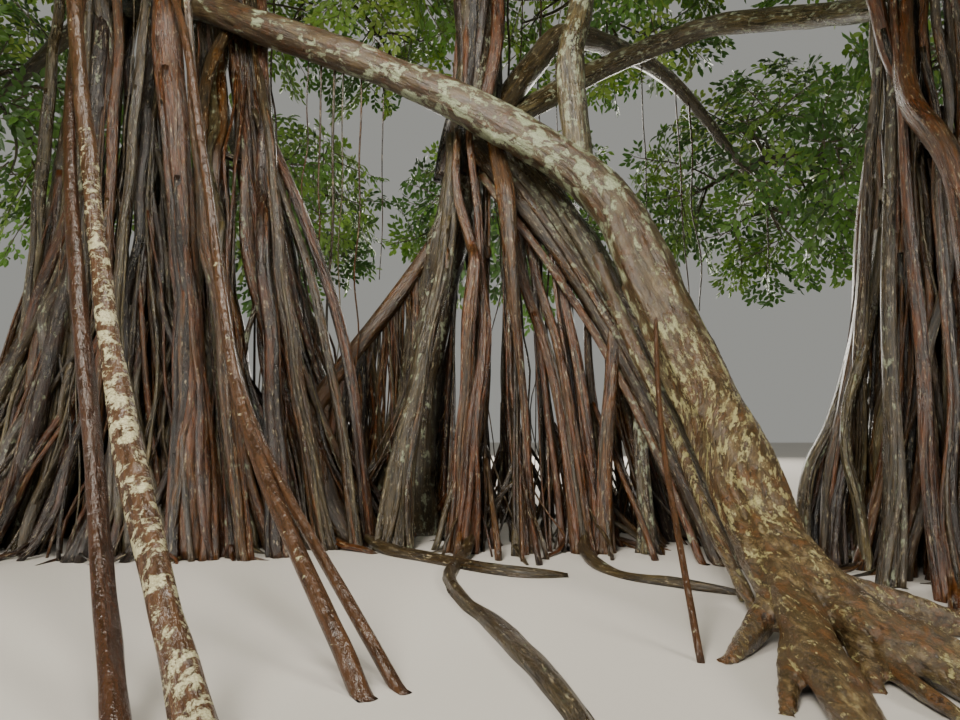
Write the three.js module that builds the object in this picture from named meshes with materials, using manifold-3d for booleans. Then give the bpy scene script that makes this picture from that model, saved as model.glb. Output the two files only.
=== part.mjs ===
// A banyan tree as one rooted plant: three clusters of fused aerial roots, a great limb that has come down
// and rooted in front, prop roots, boughs, and a wide crown in separate masses of foliage.
// Millimetres, +Z up. The origin is at the foot of the main stem, on the ground.

import * as THREE from 'three';
import { mergeVertices } from 'three/addons/utils/BufferGeometryUtils.js';
import Module from 'manifold-3d';

const wasm = await Module();
wasm.setup();

// Clearances
const GAP = 0.4; // between a limb and the piece that carries it
const LEAF_GAP = 25; // least distance of a twig or leaf from a limb
const CELL_GAP = 30; // from the middle between two masses to the space of either
const BELOW = 200; // how far a root runs on under the ground before the flat cut
const ROOT_TOE = 60; // how far a root's end leans outwards below the ground
const SHORTEST_EDGE = 0.15; // shorter edges left by a cut are closed up
const SMOOTHING = 4; // how far a fused piece may move where its least faces are joined up
const SHARPEST = 0.35; // least share of an edge's normal that counts where a solid is grown
const CLEAR_SAMPLES = 6; // places along a twig or spray that are tested against the limbs

// Roots: their radius from the head to where the foot widens, and ranges that the seeded numbers pick from
const ROOT_HEAD_SHARE = 0.75; // of its radius
const ROOT_FOOT_FROM = 0.7; // where along it the foot begins to widen
const ROOT_FOOT_FLARE = 1.5;
const ROOT_TURN = 0.6; // of the angle between two roots
const ROOT_SPREADS = [0.82, 1]; // of the tent's reach
const ROOT_WIDTHS = [0.7, 1.4]; // of the tent's root radius
const ROOT_HOLLOWS = [0.5, 1.5]; // of the tent's hollow
const CORE_WAIST = 0.45; // where along a tent's middle line its core bends

// Main trunk: a leaning main stem with a wide flared foot, a second stem that slants down to the right,
// and a tent of roots between and around them
const MAIN_STEM_UNDER = [-60, -10, -BELOW];
const MAIN_STEM = [
  [-30, 0, 0], [30, 40, 1020], [220, 120, 2180], [440, 210, 3320], [650, 290, 4750], [640, 300, 6500],
];
const MAIN_STEM_FOOT = 480;
const MAIN_STEM_WAIST = 290;
const MAIN_STEM_TOP = 190;
const MAIN_STEM_NECK = 5200; // height above which it narrows to its fork
const MAIN_STEM_FLARE_HEIGHT = 1500;
const MAIN_STEM_FLARE_CURVE = 1.6;
const SLANT_STEM = [
  [600, 200, 4150], [900, -60, 3640], [1400, -330, 2880], [1850, -620, 2000], [2250, -1250, 800],
  [2470, -1700, 0], [2600, -1900, -BELOW],
];
const SLANT_STEM_RADII = [205, 123];
const MAIN_TENT = {
  top: [720, 200, 4300], topRadius: 170, foot: [980, -60, 0], reach: [1650, 1250], core: [860, 520],
  roots: 11, rootRadius: 92, headRadius: 150, lowestHead: 2300, highestHead: 3900, hollow: 200, seed: 5,
};
const OBLIQUE_ROOT = [
  [300, 150, 2900], [-80, 0, 2260], [-700, -200, 1340], [-1450, -450, 60], [-1750, -550, -BELOW],
];
const OBLIQUE_ROOT_RADIUS = 85;
const FRONT_ROOTS = [
  { head: [640, -60, 3500], foot: [490, -760, 0], radius: 88, bow: 60 },
  { head: [120, 60, 2500], foot: [-700, -350, 0], radius: 85, bow: 40 },
  { head: [120, 60, 2500], foot: [-620, 250, 0], radius: 85, bow: 40 },
];
const PILLAR = { share: 0.5, foot: [1930, -1080, 0], radius: 85, bow: 20 }; // hangs from the slanting stem
const CURTAIN = { roots: 4, from: 0.2, span: 0.5, lean: [60, -40, -60], radius: 62, bow: 30 };
const SURFACE_ROOT_RADII = [75, 40];
const SURFACE_ROOTS = [
  [[-350, 300, 120], [-150, -250, 80], [300, -900, 40], [940, -1490, -60]],
  [[600, -500, 150], [700, -2200, 40], [760, -3430, 40], [970, -4350, -60]],
  [[1500, -900, 120], [1400, -2100, 40], [1750, -2450, 30], [2050, -2560, -30]],
];

// Left trunk: a broad tent of roots that runs up to a blunt head where its boughs fork
const LEFT_TENT = {
  top: [-2680, 420, 6400], topRadius: 620, foot: [-2180, 60, 0], reach: [2200, 1700], core: [1350, 1000],
  roots: 17, rootRadius: 120, headRadius: 560, lowestHead: 3600, highestHead: 6000, hollow: 260, seed: 9,
};
const LEFT_HEAD = [[-2660, 420, 5600], [-2690, 430, 6600], [-2720, 440, 7500]];
const LEFT_HEAD_TIP = 260;

// Right trunk: a slimmer cluster of roots with stems that lean against it
const RIGHT_TENT = {
  top: [4050, -1500, 6200], topRadius: 200, foot: [4200, -1750, 0], reach: [1050, 900], core: [520, 460],
  roots: 10, rootRadius: 88, headRadius: 210, lowestHead: 3000, highestHead: 5400, hollow: 180, seed: 3,
};
const LEANING_STEM_RADII = [85, 95];
const LEANING_STEMS = [
  [[4000, -1500, 5000], [3590, -2000, 3320], [3560, -2500, 2360], [3480, -2800, -60]],
  [[4150, -1400, 4600], [3900, -900, 2600], [3850, -700, -60]],
];

// Great limb: from the left trunk, past the front of the main trunk, down to the ground in front on the right
const GREAT_LIMB = [
  [-3150, 330, 5720], [-1700, -60, 4960], [-790, -230, 4560], [100, -420, 4110], [840, -600, 3640],
  [1380, -830, 3200], [1730, -1100, 2730], [1900, -1400, 2170], [2060, -1850, 1460], [2140, -2400, 860],
  [2155, -2900, 440], [2120, -3350, 160], [2100, -3700, -120],
];
const GREAT_LIMB_STEPS = 24;
const GREAT_LIMB_KNEE_STEP = 14;
const GREAT_LIMB_WIDTHS = [135, 150, 158, 185, 205, 185, 190]; // radii at even steps along it

// Roots at the great limb's foot: their middle lines over the ground and their radii at both ends
const FLARE_ROOTS = [
  { path: [[2140, -3250, 260], [2150, -3700, 130], [2280, -4000, 90], [2420, -4500, -60]], radii: [125, 70] },
  { path: [[2060, -3250, 240], [1900, -3750, 120], [1780, -4200, 70], [1740, -4800, -60]], radii: [125, 75] },
  { path: [[2120, -3500, 180], [2070, -3850, 90], [2010, -4150, -50]], radii: [60, 40] },
  { path: [[2030, -3250, 200], [1860, -3500, 80], [1600, -3760, -60]], radii: [85, 45] },
  { path: [[2250, -3200, 200], [2650, -3300, 90], [3250, -3550, -60]], radii: [100, 50] },
  { path: [[2200, -3000, 200], [2500, -2700, 80], [2900, -2450, -60]], radii: [90, 45] },
];

// Prop roots: each hangs from a bough at a share of its length and leans forward to the ground
const PROPS = [
  {
    name: 'prop_root_1', hangsFrom: 'outer_7', share: 0.42, top: 46, foot: 62,
    path: [
      [-2110, -2100, 3840], [-1640, -2600, 2390], [-990, -3400, 1050], [-300, -4300, 200], [0, -4700, -60],
    ],
  },
  {
    name: 'prop_root_2', hangsFrom: 'outer_7', share: 0.3, top: 26, foot: 46,
    path: [[-1970, -2300, 3030], [-970, -3600, 700], [-310, -4600, -60]],
  },
  {
    name: 'prop_root_3', hangsFrom: 'outer_7', share: 0.18, top: 28, foot: 38,
    path: [[-1910, -1000, 4500], [-1370, -1600, 2830], [-710, -2600, 1090], [300, -4150, -60]],
  },
];
const HANGING_ROOT = [[1960, -1500, 2130], [1740, -2400, 980], [1520, -3800, -60]];
const HANGING_ROOT_RADIUS = 20;

// Boughs that the photograph shows: one upright on the great limb, one that bridges to the right trunk,
// and a dark one that goes up to the right behind
const LIMB_BRANCH = [
  [1500, -860, 3080], [1500, -820, 3340], [1460, -720, 4190], [1600, -640, 4900], [1560, -900, 5900],
];
const LIMB_BRANCH_RADII = [125, 95];
const BRIDGE = [
  [900, 330, 4080], [2030, 1000, 5020], [3190, 1000, 5500], [3730, 400, 5250], [4020, -600, 4700],
  [4080, -1400, 4300],
];
const BRIDGE_STEPS = 12;
const BRIDGE_SPLIT = 7;
const BRIDGE_RADIUS = 118;
const BOUGH_WAYS = {
  outer_2: [[800, 330, 4100], [1200, 600, 4800], [1740, 900, 5380]],
};

// Where boughs may leave each trunk, from the lowest to the highest place
const HEADS = [
  { low: [650, 290, 4750], high: [640, 300, 6500] },
  { low: [-2660, 420, 5000], high: [-2720, 440, 7300] },
  { low: [4080, -1550, 4800], high: [4050, -1500, 6200] },
  { low: [1600, -640, 4900], high: [1560, -900, 5900] },
];

// Crown: tiers of masses round a centre, each mass a flattened ball cut off where its neighbours begin.
// reach is the tier's half width and depth, leaves the height at which its boughs leave the trunks
const CROWN_CENTRE = [350, 450];
const TIERS = [
  {
    name: 'top', count: 3, reach: [1950, 1800], height: 9750, turn: 0.5, droop: 0,
    wide: 2600, tall: 1750, leaves: 1, base: 190,
  },
  {
    name: 'middle', count: 7, reach: [4800, 4200], height: 8150, turn: 0.2, droop: 100,
    wide: 2550, tall: 1750, leaves: 0.7, base: 165,
  },
  {
    name: 'outer', count: 9, reach: [6900, 6100], height: 5700, turn: 0.06, droop: 900,
    wide: 2500, tall: 1900, leaves: 0.2, base: 150,
  },
];
const BOUGH_TIP = 60;
const BOUGH_RISE = 0.1; // of its length
const ENTRY = 0.6; // where a bough ends, as a share of the mass's half height from its centre
const STEM_RADIUS = 55;
const STEM_CROOK = 300; // how far a stem carries on in its bough's direction
const STEM_TOP = 0.3; // of the mass's half height above its centre
const TWIGS = 6;
const FIRST_TWIG = 0.3; // of the step between two twigs' heights
const FORKS = [0.95, 0.35]; // where twigs leave the stem, from the first to the last
const BARE_TWIG = 0.3; // of its length, near the stem and the bough's end
const TWIG_RADIUS = 42;
const TWIG_TIP = 36;
const TWIG_REACH = 0.6; // of the mass's radius
const LOWEST_TWIG = -0.75; // sine of the steepest downward twig
const GOLDEN_ANGLE = Math.PI * (3 - Math.sqrt(5));
const SPRAYS = 3; // round each twig's end
const SPRAY_LIFT = 0.35; // how far a spray leans outwards from the mass's surface
const SPRAY_LENGTH = 1550;
const SPRAY_LENGTHS = [0.8, 1.2]; // of that length
const SPRAY_FITS = [1, 0.8, 0.6]; // of its own length, tried in turn
const LAST_SPRAY = 0.96; // where the outermost spray leaves its twig
const SPRAY_WIDTH = 1000;
const SPRAY_THICKNESS = 50;
const SPRAY_WIDEST = 0.5; // of its length
const SPRAY_THICKEST = 0.2; // of its length
const SPRAY_ROOT = 8; // how far its root goes past the middle of its twig
const SPRAY_STEP = 0.13; // between a twig's sprays, as a share of the twig
const CROWN_SEED = 31;

const bark = new THREE.MeshStandardMaterial({ color: 0x6b4a35, roughness: 0.55, metalness: 0 });
const limbBark = new THREE.MeshStandardMaterial({ color: 0x7c6a50, roughness: 0.5, metalness: 0 });
const leaf = new THREE.MeshStandardMaterial({ color: 0x3f7a2b, roughness: 0.5, metalness: 0 });

const EAST = new THREE.Vector3(1, 0, 0);
const FORWARD = new THREE.Vector3(0, -1, 0); // towards the side that the photograph shows

const tree = new THREE.Group();
const limbLines = []; // middle lines of all limbs with their radii, for keeping foliage clear of them

function vector(values) {
  return new THREE.Vector3(...values);
}

// The same simple sequence of numbers from 0 to 1 for the same seed
function seeded(seed) {
  let state = seed >>> 0;
  return () => {
    state = (Math.imul(state, 1664525) + 1013904223) >>> 0;
    return state / 4294967296;
  };
}

function between([least, most], share) {
  return least + (most - least) * share;
}

function solidOf(geometry) {
  geometry.deleteAttribute('normal');
  geometry.deleteAttribute('uv');
  const merged = mergeVertices(geometry, 1e-3);
  return new wasm.Manifold(new wasm.Mesh({
    numProp: 3,
    vertProperties: Float32Array.from(merged.attributes.position.array),
    triVerts: Uint32Array.from(merged.index.array),
  }));
}

function largest(solid) {
  const pieces = solid.decompose();
  return pieces.reduce((best, piece) => (piece.volume() > best.volume() ? piece : best));
}

const ground = solidOf(new THREE.BoxGeometry(40000, 40000, 4000).translate(0, 0, -2000));

function aboveGround(solid) {
  return solid.subtract(ground);
}

function addNode(name, solid, material) {
  const mesh = solid.getMesh();
  const geometry = new THREE.BufferGeometry();
  geometry.setAttribute('position', new THREE.BufferAttribute(mesh.vertProperties, 3));
  geometry.setIndex(new THREE.BufferAttribute(mesh.triVerts, 1));
  const node = new THREE.Mesh(geometry, material);
  node.name = name;
  tree.add(node);
}

function curveThrough(places) {
  return new THREE.CatmullRomCurve3(places, false, 'catmullrom', 0.5);
}

// A round or oval limb along a curve, from one step to another of the whole curve's steps
function limb(curve, radii, { sides, steps, from = 0, to = steps, start = 0, side = EAST }) {
  const count = to - from;
  const geometry = new THREE.CylinderGeometry(1, 1, 1, sides, count);
  const length = curve.getLength();
  const rows = [];
  let across = side;
  for (let i = 0; i <= to; i += 1) {
    const share = i === from ? i / steps + start / length : i / steps;
    const tangent = curve.getTangentAt(share);
    across = across.clone().addScaledVector(tangent, -across.dot(tangent)).normalize();
    const other = new THREE.Vector3().crossVectors(across, tangent);
    rows.push({ at: curve.getPointAt(share), across, other, radii: [radii(share)].flat() });
  }
  const position = geometry.attributes.position;
  for (let i = 0; i < position.count; i += 1) {
    const row = rows[from + Math.round((position.getY(i) + 0.5) * count)];
    const [wide, deep = wide] = row.radii;
    const place = row.at.clone()
      .addScaledVector(row.across, position.getX(i) * wide)
      .addScaledVector(row.other, position.getZ(i) * deep);
    position.setXYZ(i, place.x, place.y, place.z);
  }
  return solidOf(geometry);
}

function rememberLine(curve, radii, pieces) {
  for (let i = 0; i < pieces; i += 1) {
    const [a, b] = [i / pieces, (i + 1) / pieces];
    const radius = Math.max(...[radii(a), radii(b)].flat());
    limbLines.push({ a: curve.getPointAt(a), b: curve.getPointAt(b), radius });
  }
}

function taper(first, last) {
  return (share) => between([first, last], share);
}

// A root from a place on its trunk down to the ground, bowed outwards and wider towards its foot
function root(top, foot, radius, bow, outwards) {
  const middle = top.clone().lerp(foot, 0.5).addScaledVector(outwards, bow);
  const below = foot.clone().addScaledVector(outwards, ROOT_TOE).setZ(-BELOW);
  const widen = (share) => radius
    * (between([ROOT_HEAD_SHARE, 1], share) + ROOT_FOOT_FLARE * Math.max(0, share - ROOT_FOOT_FROM));
  return limb(curveThrough([top, middle, foot, below]), widen, { sides: 5, steps: 3 });
}

// A ring of roots that come down round the line from top to foot, with their heads at different heights
function tentRoots(tent) {
  const random = seeded(tent.seed);
  const foot = vector(tent.foot);
  const top = vector(tent.top);
  const roots = [];
  for (let k = 0; k < tent.roots; k += 1) {
    const angle = (2 * Math.PI * (k + ROOT_TURN * random())) / tent.roots;
    const outwards = new THREE.Vector3(Math.cos(angle), Math.sin(angle), 0);
    const height = between([tent.lowestHead, tent.highestHead], random());
    const spread = between(ROOT_SPREADS, random());
    const radius = tent.rootRadius * between(ROOT_WIDTHS, random());
    const bow = -tent.hollow * between(ROOT_HOLLOWS, random());
    const head = foot.clone().lerp(top, height / top.z).addScaledVector(outwards, tent.headRadius);
    const reach = new THREE.Vector3(tent.reach[0] * outwards.x, tent.reach[1] * outwards.y, 0);
    roots.push(root(head, foot.clone().addScaledVector(reach, spread), radius, bow, outwards));
  }
  return roots;
}

// The fused middle of a tent of roots, oval at the foot and round at its top
function tentCore(tent) {
  const foot = vector(tent.foot);
  const top = vector(tent.top);
  const curve = curveThrough([foot.clone().setZ(-BELOW), foot.clone().lerp(top, CORE_WAIST), top]);
  const radii = (along) => tent.core.map((reach) => between([reach, tent.topRadius], along));
  rememberLine(curve, radii, 6);
  return limb(curve, radii, { sides: 8, steps: 3 });
}

// The main stem's radius at a share of its length: a flared foot, a waist and a narrower fork
function mainStemRadius(share, length) {
  const height = share * length - BELOW;
  const low = 1 - Math.min(1, Math.max(0, height) / MAIN_STEM_FLARE_HEIGHT);
  const high = Math.max(0, height - MAIN_STEM_NECK) / (length - BELOW - MAIN_STEM_NECK);
  const flare = (MAIN_STEM_FOOT - MAIN_STEM_WAIST) * low ** MAIN_STEM_FLARE_CURVE;
  return MAIN_STEM_WAIST + flare - (MAIN_STEM_WAIST - MAIN_STEM_TOP) * high;
}

// Roots that hang from the slanting stem in front of the main trunk
function slantRoots(slant) {
  const pillarHead = slant.getPointAt(PILLAR.share);
  const roots = [root(pillarHead, vector(PILLAR.foot), PILLAR.radius, PILLAR.bow, FORWARD)];
  const [right, near, nearer] = CURTAIN.lean;
  for (let k = 0; k < CURTAIN.roots; k += 1) {
    const head = slant.getPointAt(CURTAIN.from + (CURTAIN.span * k) / (CURTAIN.roots - 1));
    const foot = new THREE.Vector3(head.x + right, head.y + near + nearer * (k % 2), 0);
    roots.push(root(head, foot, CURTAIN.radius, CURTAIN.bow, FORWARD));
  }
  return roots;
}

function mainTrunk() {
  const stem = curveThrough([MAIN_STEM_UNDER, ...MAIN_STEM].map(vector));
  const stemRadius = (share) => mainStemRadius(share, stem.getLength());
  const slant = curveThrough(SLANT_STEM.map(vector));
  const slantRadius = taper(...SLANT_STEM_RADII);
  rememberLine(stem, stemRadius, 8);
  rememberLine(slant, slantRadius, 5);
  return aboveGround(wasm.Manifold.union([
    limb(stem, stemRadius, { sides: 8, steps: 8 }),
    limb(slant, slantRadius, { sides: 6, steps: 6 }),
    tentCore(MAIN_TENT),
    ...tentRoots(MAIN_TENT),
    ...FRONT_ROOTS.map(({ head, foot, radius, bow }) => (
      root(vector(head), vector(foot), radius, bow, FORWARD))),
    limb(curveThrough(OBLIQUE_ROOT.map(vector)), () => OBLIQUE_ROOT_RADIUS, { sides: 6, steps: 5 }),
    ...slantRoots(slant),
    ...SURFACE_ROOTS.map((path) => (
      limb(curveThrough(path.map(vector)), taper(...SURFACE_ROOT_RADII), { sides: 5, steps: 5 }))),
  ]));
}

function leftTrunk() {
  const head = curveThrough(LEFT_HEAD.map(vector));
  const headRadius = taper(LEFT_TENT.topRadius, LEFT_HEAD_TIP);
  rememberLine(head, headRadius, 2);
  return aboveGround(wasm.Manifold.union([
    limb(head, headRadius, { sides: 9, steps: 3 }),
    tentCore(LEFT_TENT),
    ...tentRoots(LEFT_TENT),
  ]));
}

function rightTrunk() {
  const pieces = [tentCore(RIGHT_TENT), ...tentRoots(RIGHT_TENT)];
  for (const stem of LEANING_STEMS) {
    pieces.push(limb(curveThrough(stem.map(vector)), taper(...LEANING_STEM_RADII), { sides: 5, steps: 4 }));
  }
  return aboveGround(wasm.Manifold.union(pieces));
}

function greatLimbRadius(share) {
  const place = share * (GREAT_LIMB_WIDTHS.length - 1);
  const index = Math.min(Math.floor(place), GREAT_LIMB_WIDTHS.length - 2);
  return between([GREAT_LIMB_WIDTHS[index], GREAT_LIMB_WIDTHS[index + 1]], place - index);
}

function greatLimbUpper() {
  const curve = curveThrough(GREAT_LIMB.map(vector));
  rememberLine(curve, greatLimbRadius, 12);
  return limb(curve, greatLimbRadius, { sides: 10, steps: GREAT_LIMB_STEPS, to: GREAT_LIMB_KNEE_STEP });
}

// The lower part of the great limb with the roots that spread from its foot over the ground
function greatLimbLower() {
  const curve = curveThrough(GREAT_LIMB.map(vector));
  const pieces = [limb(curve, greatLimbRadius, {
    sides: 10, steps: GREAT_LIMB_STEPS, from: GREAT_LIMB_KNEE_STEP, start: GAP,
  })];
  for (const { path, radii } of FLARE_ROOTS) {
    pieces.push(limb(curveThrough(path.map(vector)), taper(...radii), { sides: 5, steps: 4 }));
  }
  return aboveGround(wasm.Manifold.union(pieces));
}

const cutters = []; // every limb so far, a little larger, to cut the next one clear of it

// The same solid with every face moved outwards by the gap
function grown(solid) {
  const mesh = solid.getMesh();
  const corners = [];
  for (let i = 0; i < mesh.vertProperties.length; i += 3) {
    corners.push({ at: new THREE.Vector3().fromArray(mesh.vertProperties, i), faces: [] });
  }
  for (let i = 0; i < mesh.triVerts.length; i += 3) {
    const [a, b, c] = [0, 1, 2].map((k) => corners[mesh.triVerts[i + k]]);
    const normal = new THREE.Triangle(a.at, b.at, c.at).getNormal(new THREE.Vector3());
    [a, b, c].forEach((corner) => corner.faces.push(normal));
  }
  const moved = corners.flatMap(({ at, faces }) => {
    const mean = faces.reduce((sum, normal) => sum.add(normal), new THREE.Vector3()).normalize();
    const least = Math.min(...faces.map((normal) => normal.dot(mean)));
    return at.clone().addScaledVector(mean, GAP / Math.max(SHARPEST, least)).toArray();
  });
  return new wasm.Manifold(new wasm.Mesh({
    numProp: 3,
    vertProperties: Float32Array.from(moved),
    triVerts: mesh.triVerts,
  }));
}

// Adds one limb, cut clear of the limbs that are already there
function addLimb(name, whole, material = bark) {
  const cut = cutters.reduce((rest, cutter) => rest.subtract(cutter), whole.simplify(SMOOTHING));
  const piece = largest(cut).simplify(SHORTEST_EDGE);
  cutters.push(grown(piece));
  addNode(name, piece, material);
}

function addTaperedLimb(name, curve, radii, shape, material) {
  rememberLine(curve, radii, 6);
  addLimb(name, aboveGround(limb(curve, radii, shape)), material);
}

// Where each mass of the crown has its centre, and how far it reaches
function crownMasses() {
  const masses = [];
  for (const tier of TIERS) {
    for (let k = 0; k < tier.count; k += 1) {
      const angle = (2 * Math.PI * (k + tier.turn)) / tier.count;
      const centre = new THREE.Vector3(
        CROWN_CENTRE[0] + tier.reach[0] * Math.cos(angle),
        CROWN_CENTRE[1] + tier.reach[1] * Math.sin(angle),
        tier.height - tier.droop * 0.5 * (1 + Math.sin(angle)),
      );
      const radii = new THREE.Vector3(tier.wide, tier.wide, tier.tall);
      masses.push({ name: `${tier.name}_${k + 1}`, tier, centre, radii });
    }
  }
  return masses;
}

function planDistance(a, b) {
  return Math.hypot(a.x - b.x, a.y - b.y);
}

// A bough leaves the nearest trunk head, rises a little and ends where it enters its mass
function boughCurve(mass) {
  const heads = HEADS.map(({ low, high }) => ({ low: vector(low), high: vector(high) }));
  const nearest = heads.reduce((best, head) => (
    planDistance(head.high, mass.centre) < planDistance(best.high, mass.centre) ? head : best));
  const start = nearest.low.clone().lerp(nearest.high, mass.tier.leaves);
  const way = BOUGH_WAYS[mass.name];
  const points = way ? way.map(vector) : [start];
  const last = points[points.length - 1];
  const inwards = last.clone().sub(mass.centre).normalize();
  const end = mass.centre.clone().addScaledVector(inwards, ENTRY * mass.radii.z);
  const middle = last.clone().lerp(end, 0.5);
  middle.z += BOUGH_RISE * last.distanceTo(end);
  return curveThrough([...points, middle, end]);
}

// Whether a place is in the mass's own space: inside its ball, on its side of every neighbour
function inSpace(place, mass, masses) {
  const inBall = place.clone().sub(mass.centre).divide(mass.radii).length() <= 1;
  return inBall && masses.every((other) => {
    if (other === mass) {
      return true;
    }
    const between = other.centre.clone().sub(mass.centre);
    const beyond = place.clone().sub(mass.centre).dot(between) / between.length();
    return beyond < between.length() / 2 - CELL_GAP;
  });
}

// Whether a straight piece of some half width stays clear of all limbs
function clearOfLimbs(start, end, halfWidth) {
  for (let i = 0; i <= CLEAR_SAMPLES; i += 1) {
    const place = start.clone().lerp(end, i / CLEAR_SAMPLES);
    for (const { a, b, radius } of limbLines) {
      const along = b.clone().sub(a);
      const share = place.clone().sub(a).dot(along) / along.lengthSq();
      const nearest = a.clone().addScaledVector(along, Math.min(1, Math.max(0, share)));
      if (nearest.distanceTo(place) < radius + halfWidth + LEAF_GAP) {
        return false;
      }
    }
  }
  return true;
}

// A flat spray of leaves as a thin three-sided blade with a ridge along its outer face, highest near its root
function sprayBlade(base, tip, face, width) {
  const along = tip.clone().sub(base);
  const side = new THREE.Vector3().crossVectors(face, along).setLength(width / 2);
  const up = new THREE.Vector3().crossVectors(along, side).setLength(SPRAY_THICKNESS);
  const geometry = new THREE.SphereGeometry(1, 3, 2);
  const position = geometry.attributes.position;
  for (let i = 0; i < position.count; i += 1) {
    const [x, y, z] = [position.getX(i), position.getY(i), position.getZ(i)];
    const place = base.clone();
    if (Math.abs(y) > 0.5) {
      place.addScaledVector(along, (y + 1) / 2);
    } else if (x < 0) {
      place.addScaledVector(along, SPRAY_THICKEST).add(up);
    } else {
      place.addScaledVector(along, SPRAY_WIDEST).addScaledVector(side, -Math.sign(z));
    }
    position.setXYZ(i, place.x, place.y, place.z);
  }
  return solidOf(geometry);
}

// The longest spray from a twig's end that keeps to the mass's space and clear of the limbs
function fittedTip(from, direction, length, face, mass, masses) {
  for (const share of SPRAY_FITS) {
    const halfWidth = (share * SPRAY_WIDTH) / 2;
    const tip = from.clone().addScaledVector(direction, length * share);
    const widest = from.clone().lerp(tip, SPRAY_WIDEST);
    const side = new THREE.Vector3().crossVectors(face, direction).setLength(halfWidth);
    const corners = [tip, widest.clone().add(side), widest.clone().sub(side)];
    if (corners.every((corner) => inSpace(corner, mass, masses)) && clearOfLimbs(from, tip, halfWidth)) {
      return { tip, share };
    }
  }
  return null;
}

// A mass's stem carries on from its bough's end, a gap away from it, and turns up into the mass
function massStem(mass, bough) {
  const tangent = bough.getTangentAt(1);
  const base = bough.getPointAt(1).addScaledVector(tangent, GAP);
  const crook = base.clone().addScaledVector(tangent, STEM_CROOK);
  const top = mass.centre.clone().add(new THREE.Vector3(0, 0, STEM_TOP * mass.radii.z));
  return curveThrough([base, crook, top]);
}

// A twig and the sprays round its end, which lie along the mass's outer surface, turned by fan round outwards
function twigWithSprays({ from, to, outwards, lengths, fan }, mass, masses) {
  const sideways = new THREE.Vector3(-outwards.y, outwards.x, 0).normalize();
  const upwards = new THREE.Vector3().crossVectors(outwards, sideways);
  const turned = (angle) => sideways.clone().multiplyScalar(Math.cos(angle))
    .addScaledVector(upwards, Math.sin(angle));
  const side = new THREE.Vector3().crossVectors(turned(fan), to.clone().sub(from)).normalize();
  const pieces = [limb(curveThrough([from, to]), taper(TWIG_RADIUS, TWIG_TIP), { sides: 3, steps: 1, side })];
  lengths.forEach((length, j) => {
    const direction = turned(fan + (2 * Math.PI * j) / SPRAYS);
    direction.addScaledVector(outwards, SPRAY_LIFT).normalize();
    const place = from.clone().lerp(to, LAST_SPRAY - SPRAY_STEP * j);
    const fitted = fittedTip(place, direction, length, outwards, mass, masses);
    if (fitted) {
      const rooted = place.clone().addScaledVector(direction, -SPRAY_ROOT);
      pieces.push(sprayBlade(rooted, fitted.tip, outwards, SPRAY_WIDTH * fitted.share));
    }
  });
  return pieces;
}

// One mass: its stem, with twigs to all sides and sprays round each twig's end
function foliageMass(mass, masses, bough, seed) {
  const random = seeded(seed);
  const stem = massStem(mass, bough);
  const pieces = [limb(stem, taper(STEM_RADIUS, TWIG_RADIUS), { sides: 4, steps: 3 })];
  const phase = 2 * Math.PI * random();
  for (let k = 0; k < TWIGS; k += 1) {
    const sine = between([1, LOWEST_TWIG], (k + FIRST_TWIG) / TWIGS);
    const turn = phase + k * GOLDEN_ANGLE;
    const level = Math.sqrt(1 - sine * sine);
    const outwards = new THREE.Vector3(level * Math.cos(turn), level * Math.sin(turn), sine);
    const from = stem.getPointAt(between(FORKS, k / TWIGS));
    const to = mass.centre.clone().addScaledVector(outwards.clone().multiply(mass.radii), TWIG_REACH);
    const lengths = Array.from({ length: SPRAYS }, () => SPRAY_LENGTH * between(SPRAY_LENGTHS, random()));
    const fan = 2 * Math.PI * random();
    if (inSpace(to, mass, masses) && clearOfLimbs(from.clone().lerp(to, BARE_TWIG), to, TWIG_RADIUS)) {
      pieces.push(...twigWithSprays({ from, to, outwards, lengths, fan }, mass, masses));
    }
  }
  return largest(wasm.Manifold.union(pieces)).simplify(SMOOTHING);
}

addLimb('left_trunk', leftTrunk());
addLimb('great_limb_upper', greatLimbUpper(), limbBark);
addLimb('great_limb_lower', greatLimbLower(), limbBark);
addLimb('main_trunk', mainTrunk());
addLimb('right_trunk', rightTrunk());

const limbBranch = curveThrough(LIMB_BRANCH.map(vector));
addTaperedLimb('limb_branch', limbBranch, taper(...LIMB_BRANCH_RADII), { sides: 8, steps: 8 });
const bridge = curveThrough(BRIDGE.map(vector));
const bridgeRadii = () => BRIDGE_RADIUS;
const bridgeShape = { sides: 8, steps: BRIDGE_STEPS };
addTaperedLimb('bridge_bough_inner', bridge, bridgeRadii, { ...bridgeShape, to: BRIDGE_SPLIT });
addTaperedLimb('bridge_bough_outer', bridge, bridgeRadii, { ...bridgeShape, from: BRIDGE_SPLIT, start: GAP });

const masses = crownMasses();
const boughs = {};
for (const mass of masses) {
  boughs[mass.name] = boughCurve(mass);
  const boughRadii = taper(mass.tier.base, BOUGH_TIP);
  addTaperedLimb(`bough_${mass.name}`, boughs[mass.name], boughRadii, { sides: 6, steps: 4 });
}
for (const { name, hangsFrom, share, path, top, foot } of PROPS) {
  const head = boughs[hangsFrom].getPointAt(share);
  addTaperedLimb(name, curveThrough([head, ...path.map(vector)]), taper(top, foot), { sides: 5, steps: 8 });
}
const hangingRoot = curveThrough(HANGING_ROOT.map(vector));
addTaperedLimb('hanging_root', hangingRoot, () => HANGING_ROOT_RADIUS, { sides: 5, steps: 3 });
masses.forEach((mass, index) => {
  addNode(`leaves_${mass.name}`, foliageMass(mass, masses, boughs[mass.name], CROWN_SEED + index), leaf);
});

export default tree;
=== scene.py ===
# Looks of a banyan tree: clusters of fused aerial roots, a great limb that has rooted in front, boughs and a
# crown of leaves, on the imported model's frame. Metres, +Z up.

import math

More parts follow.
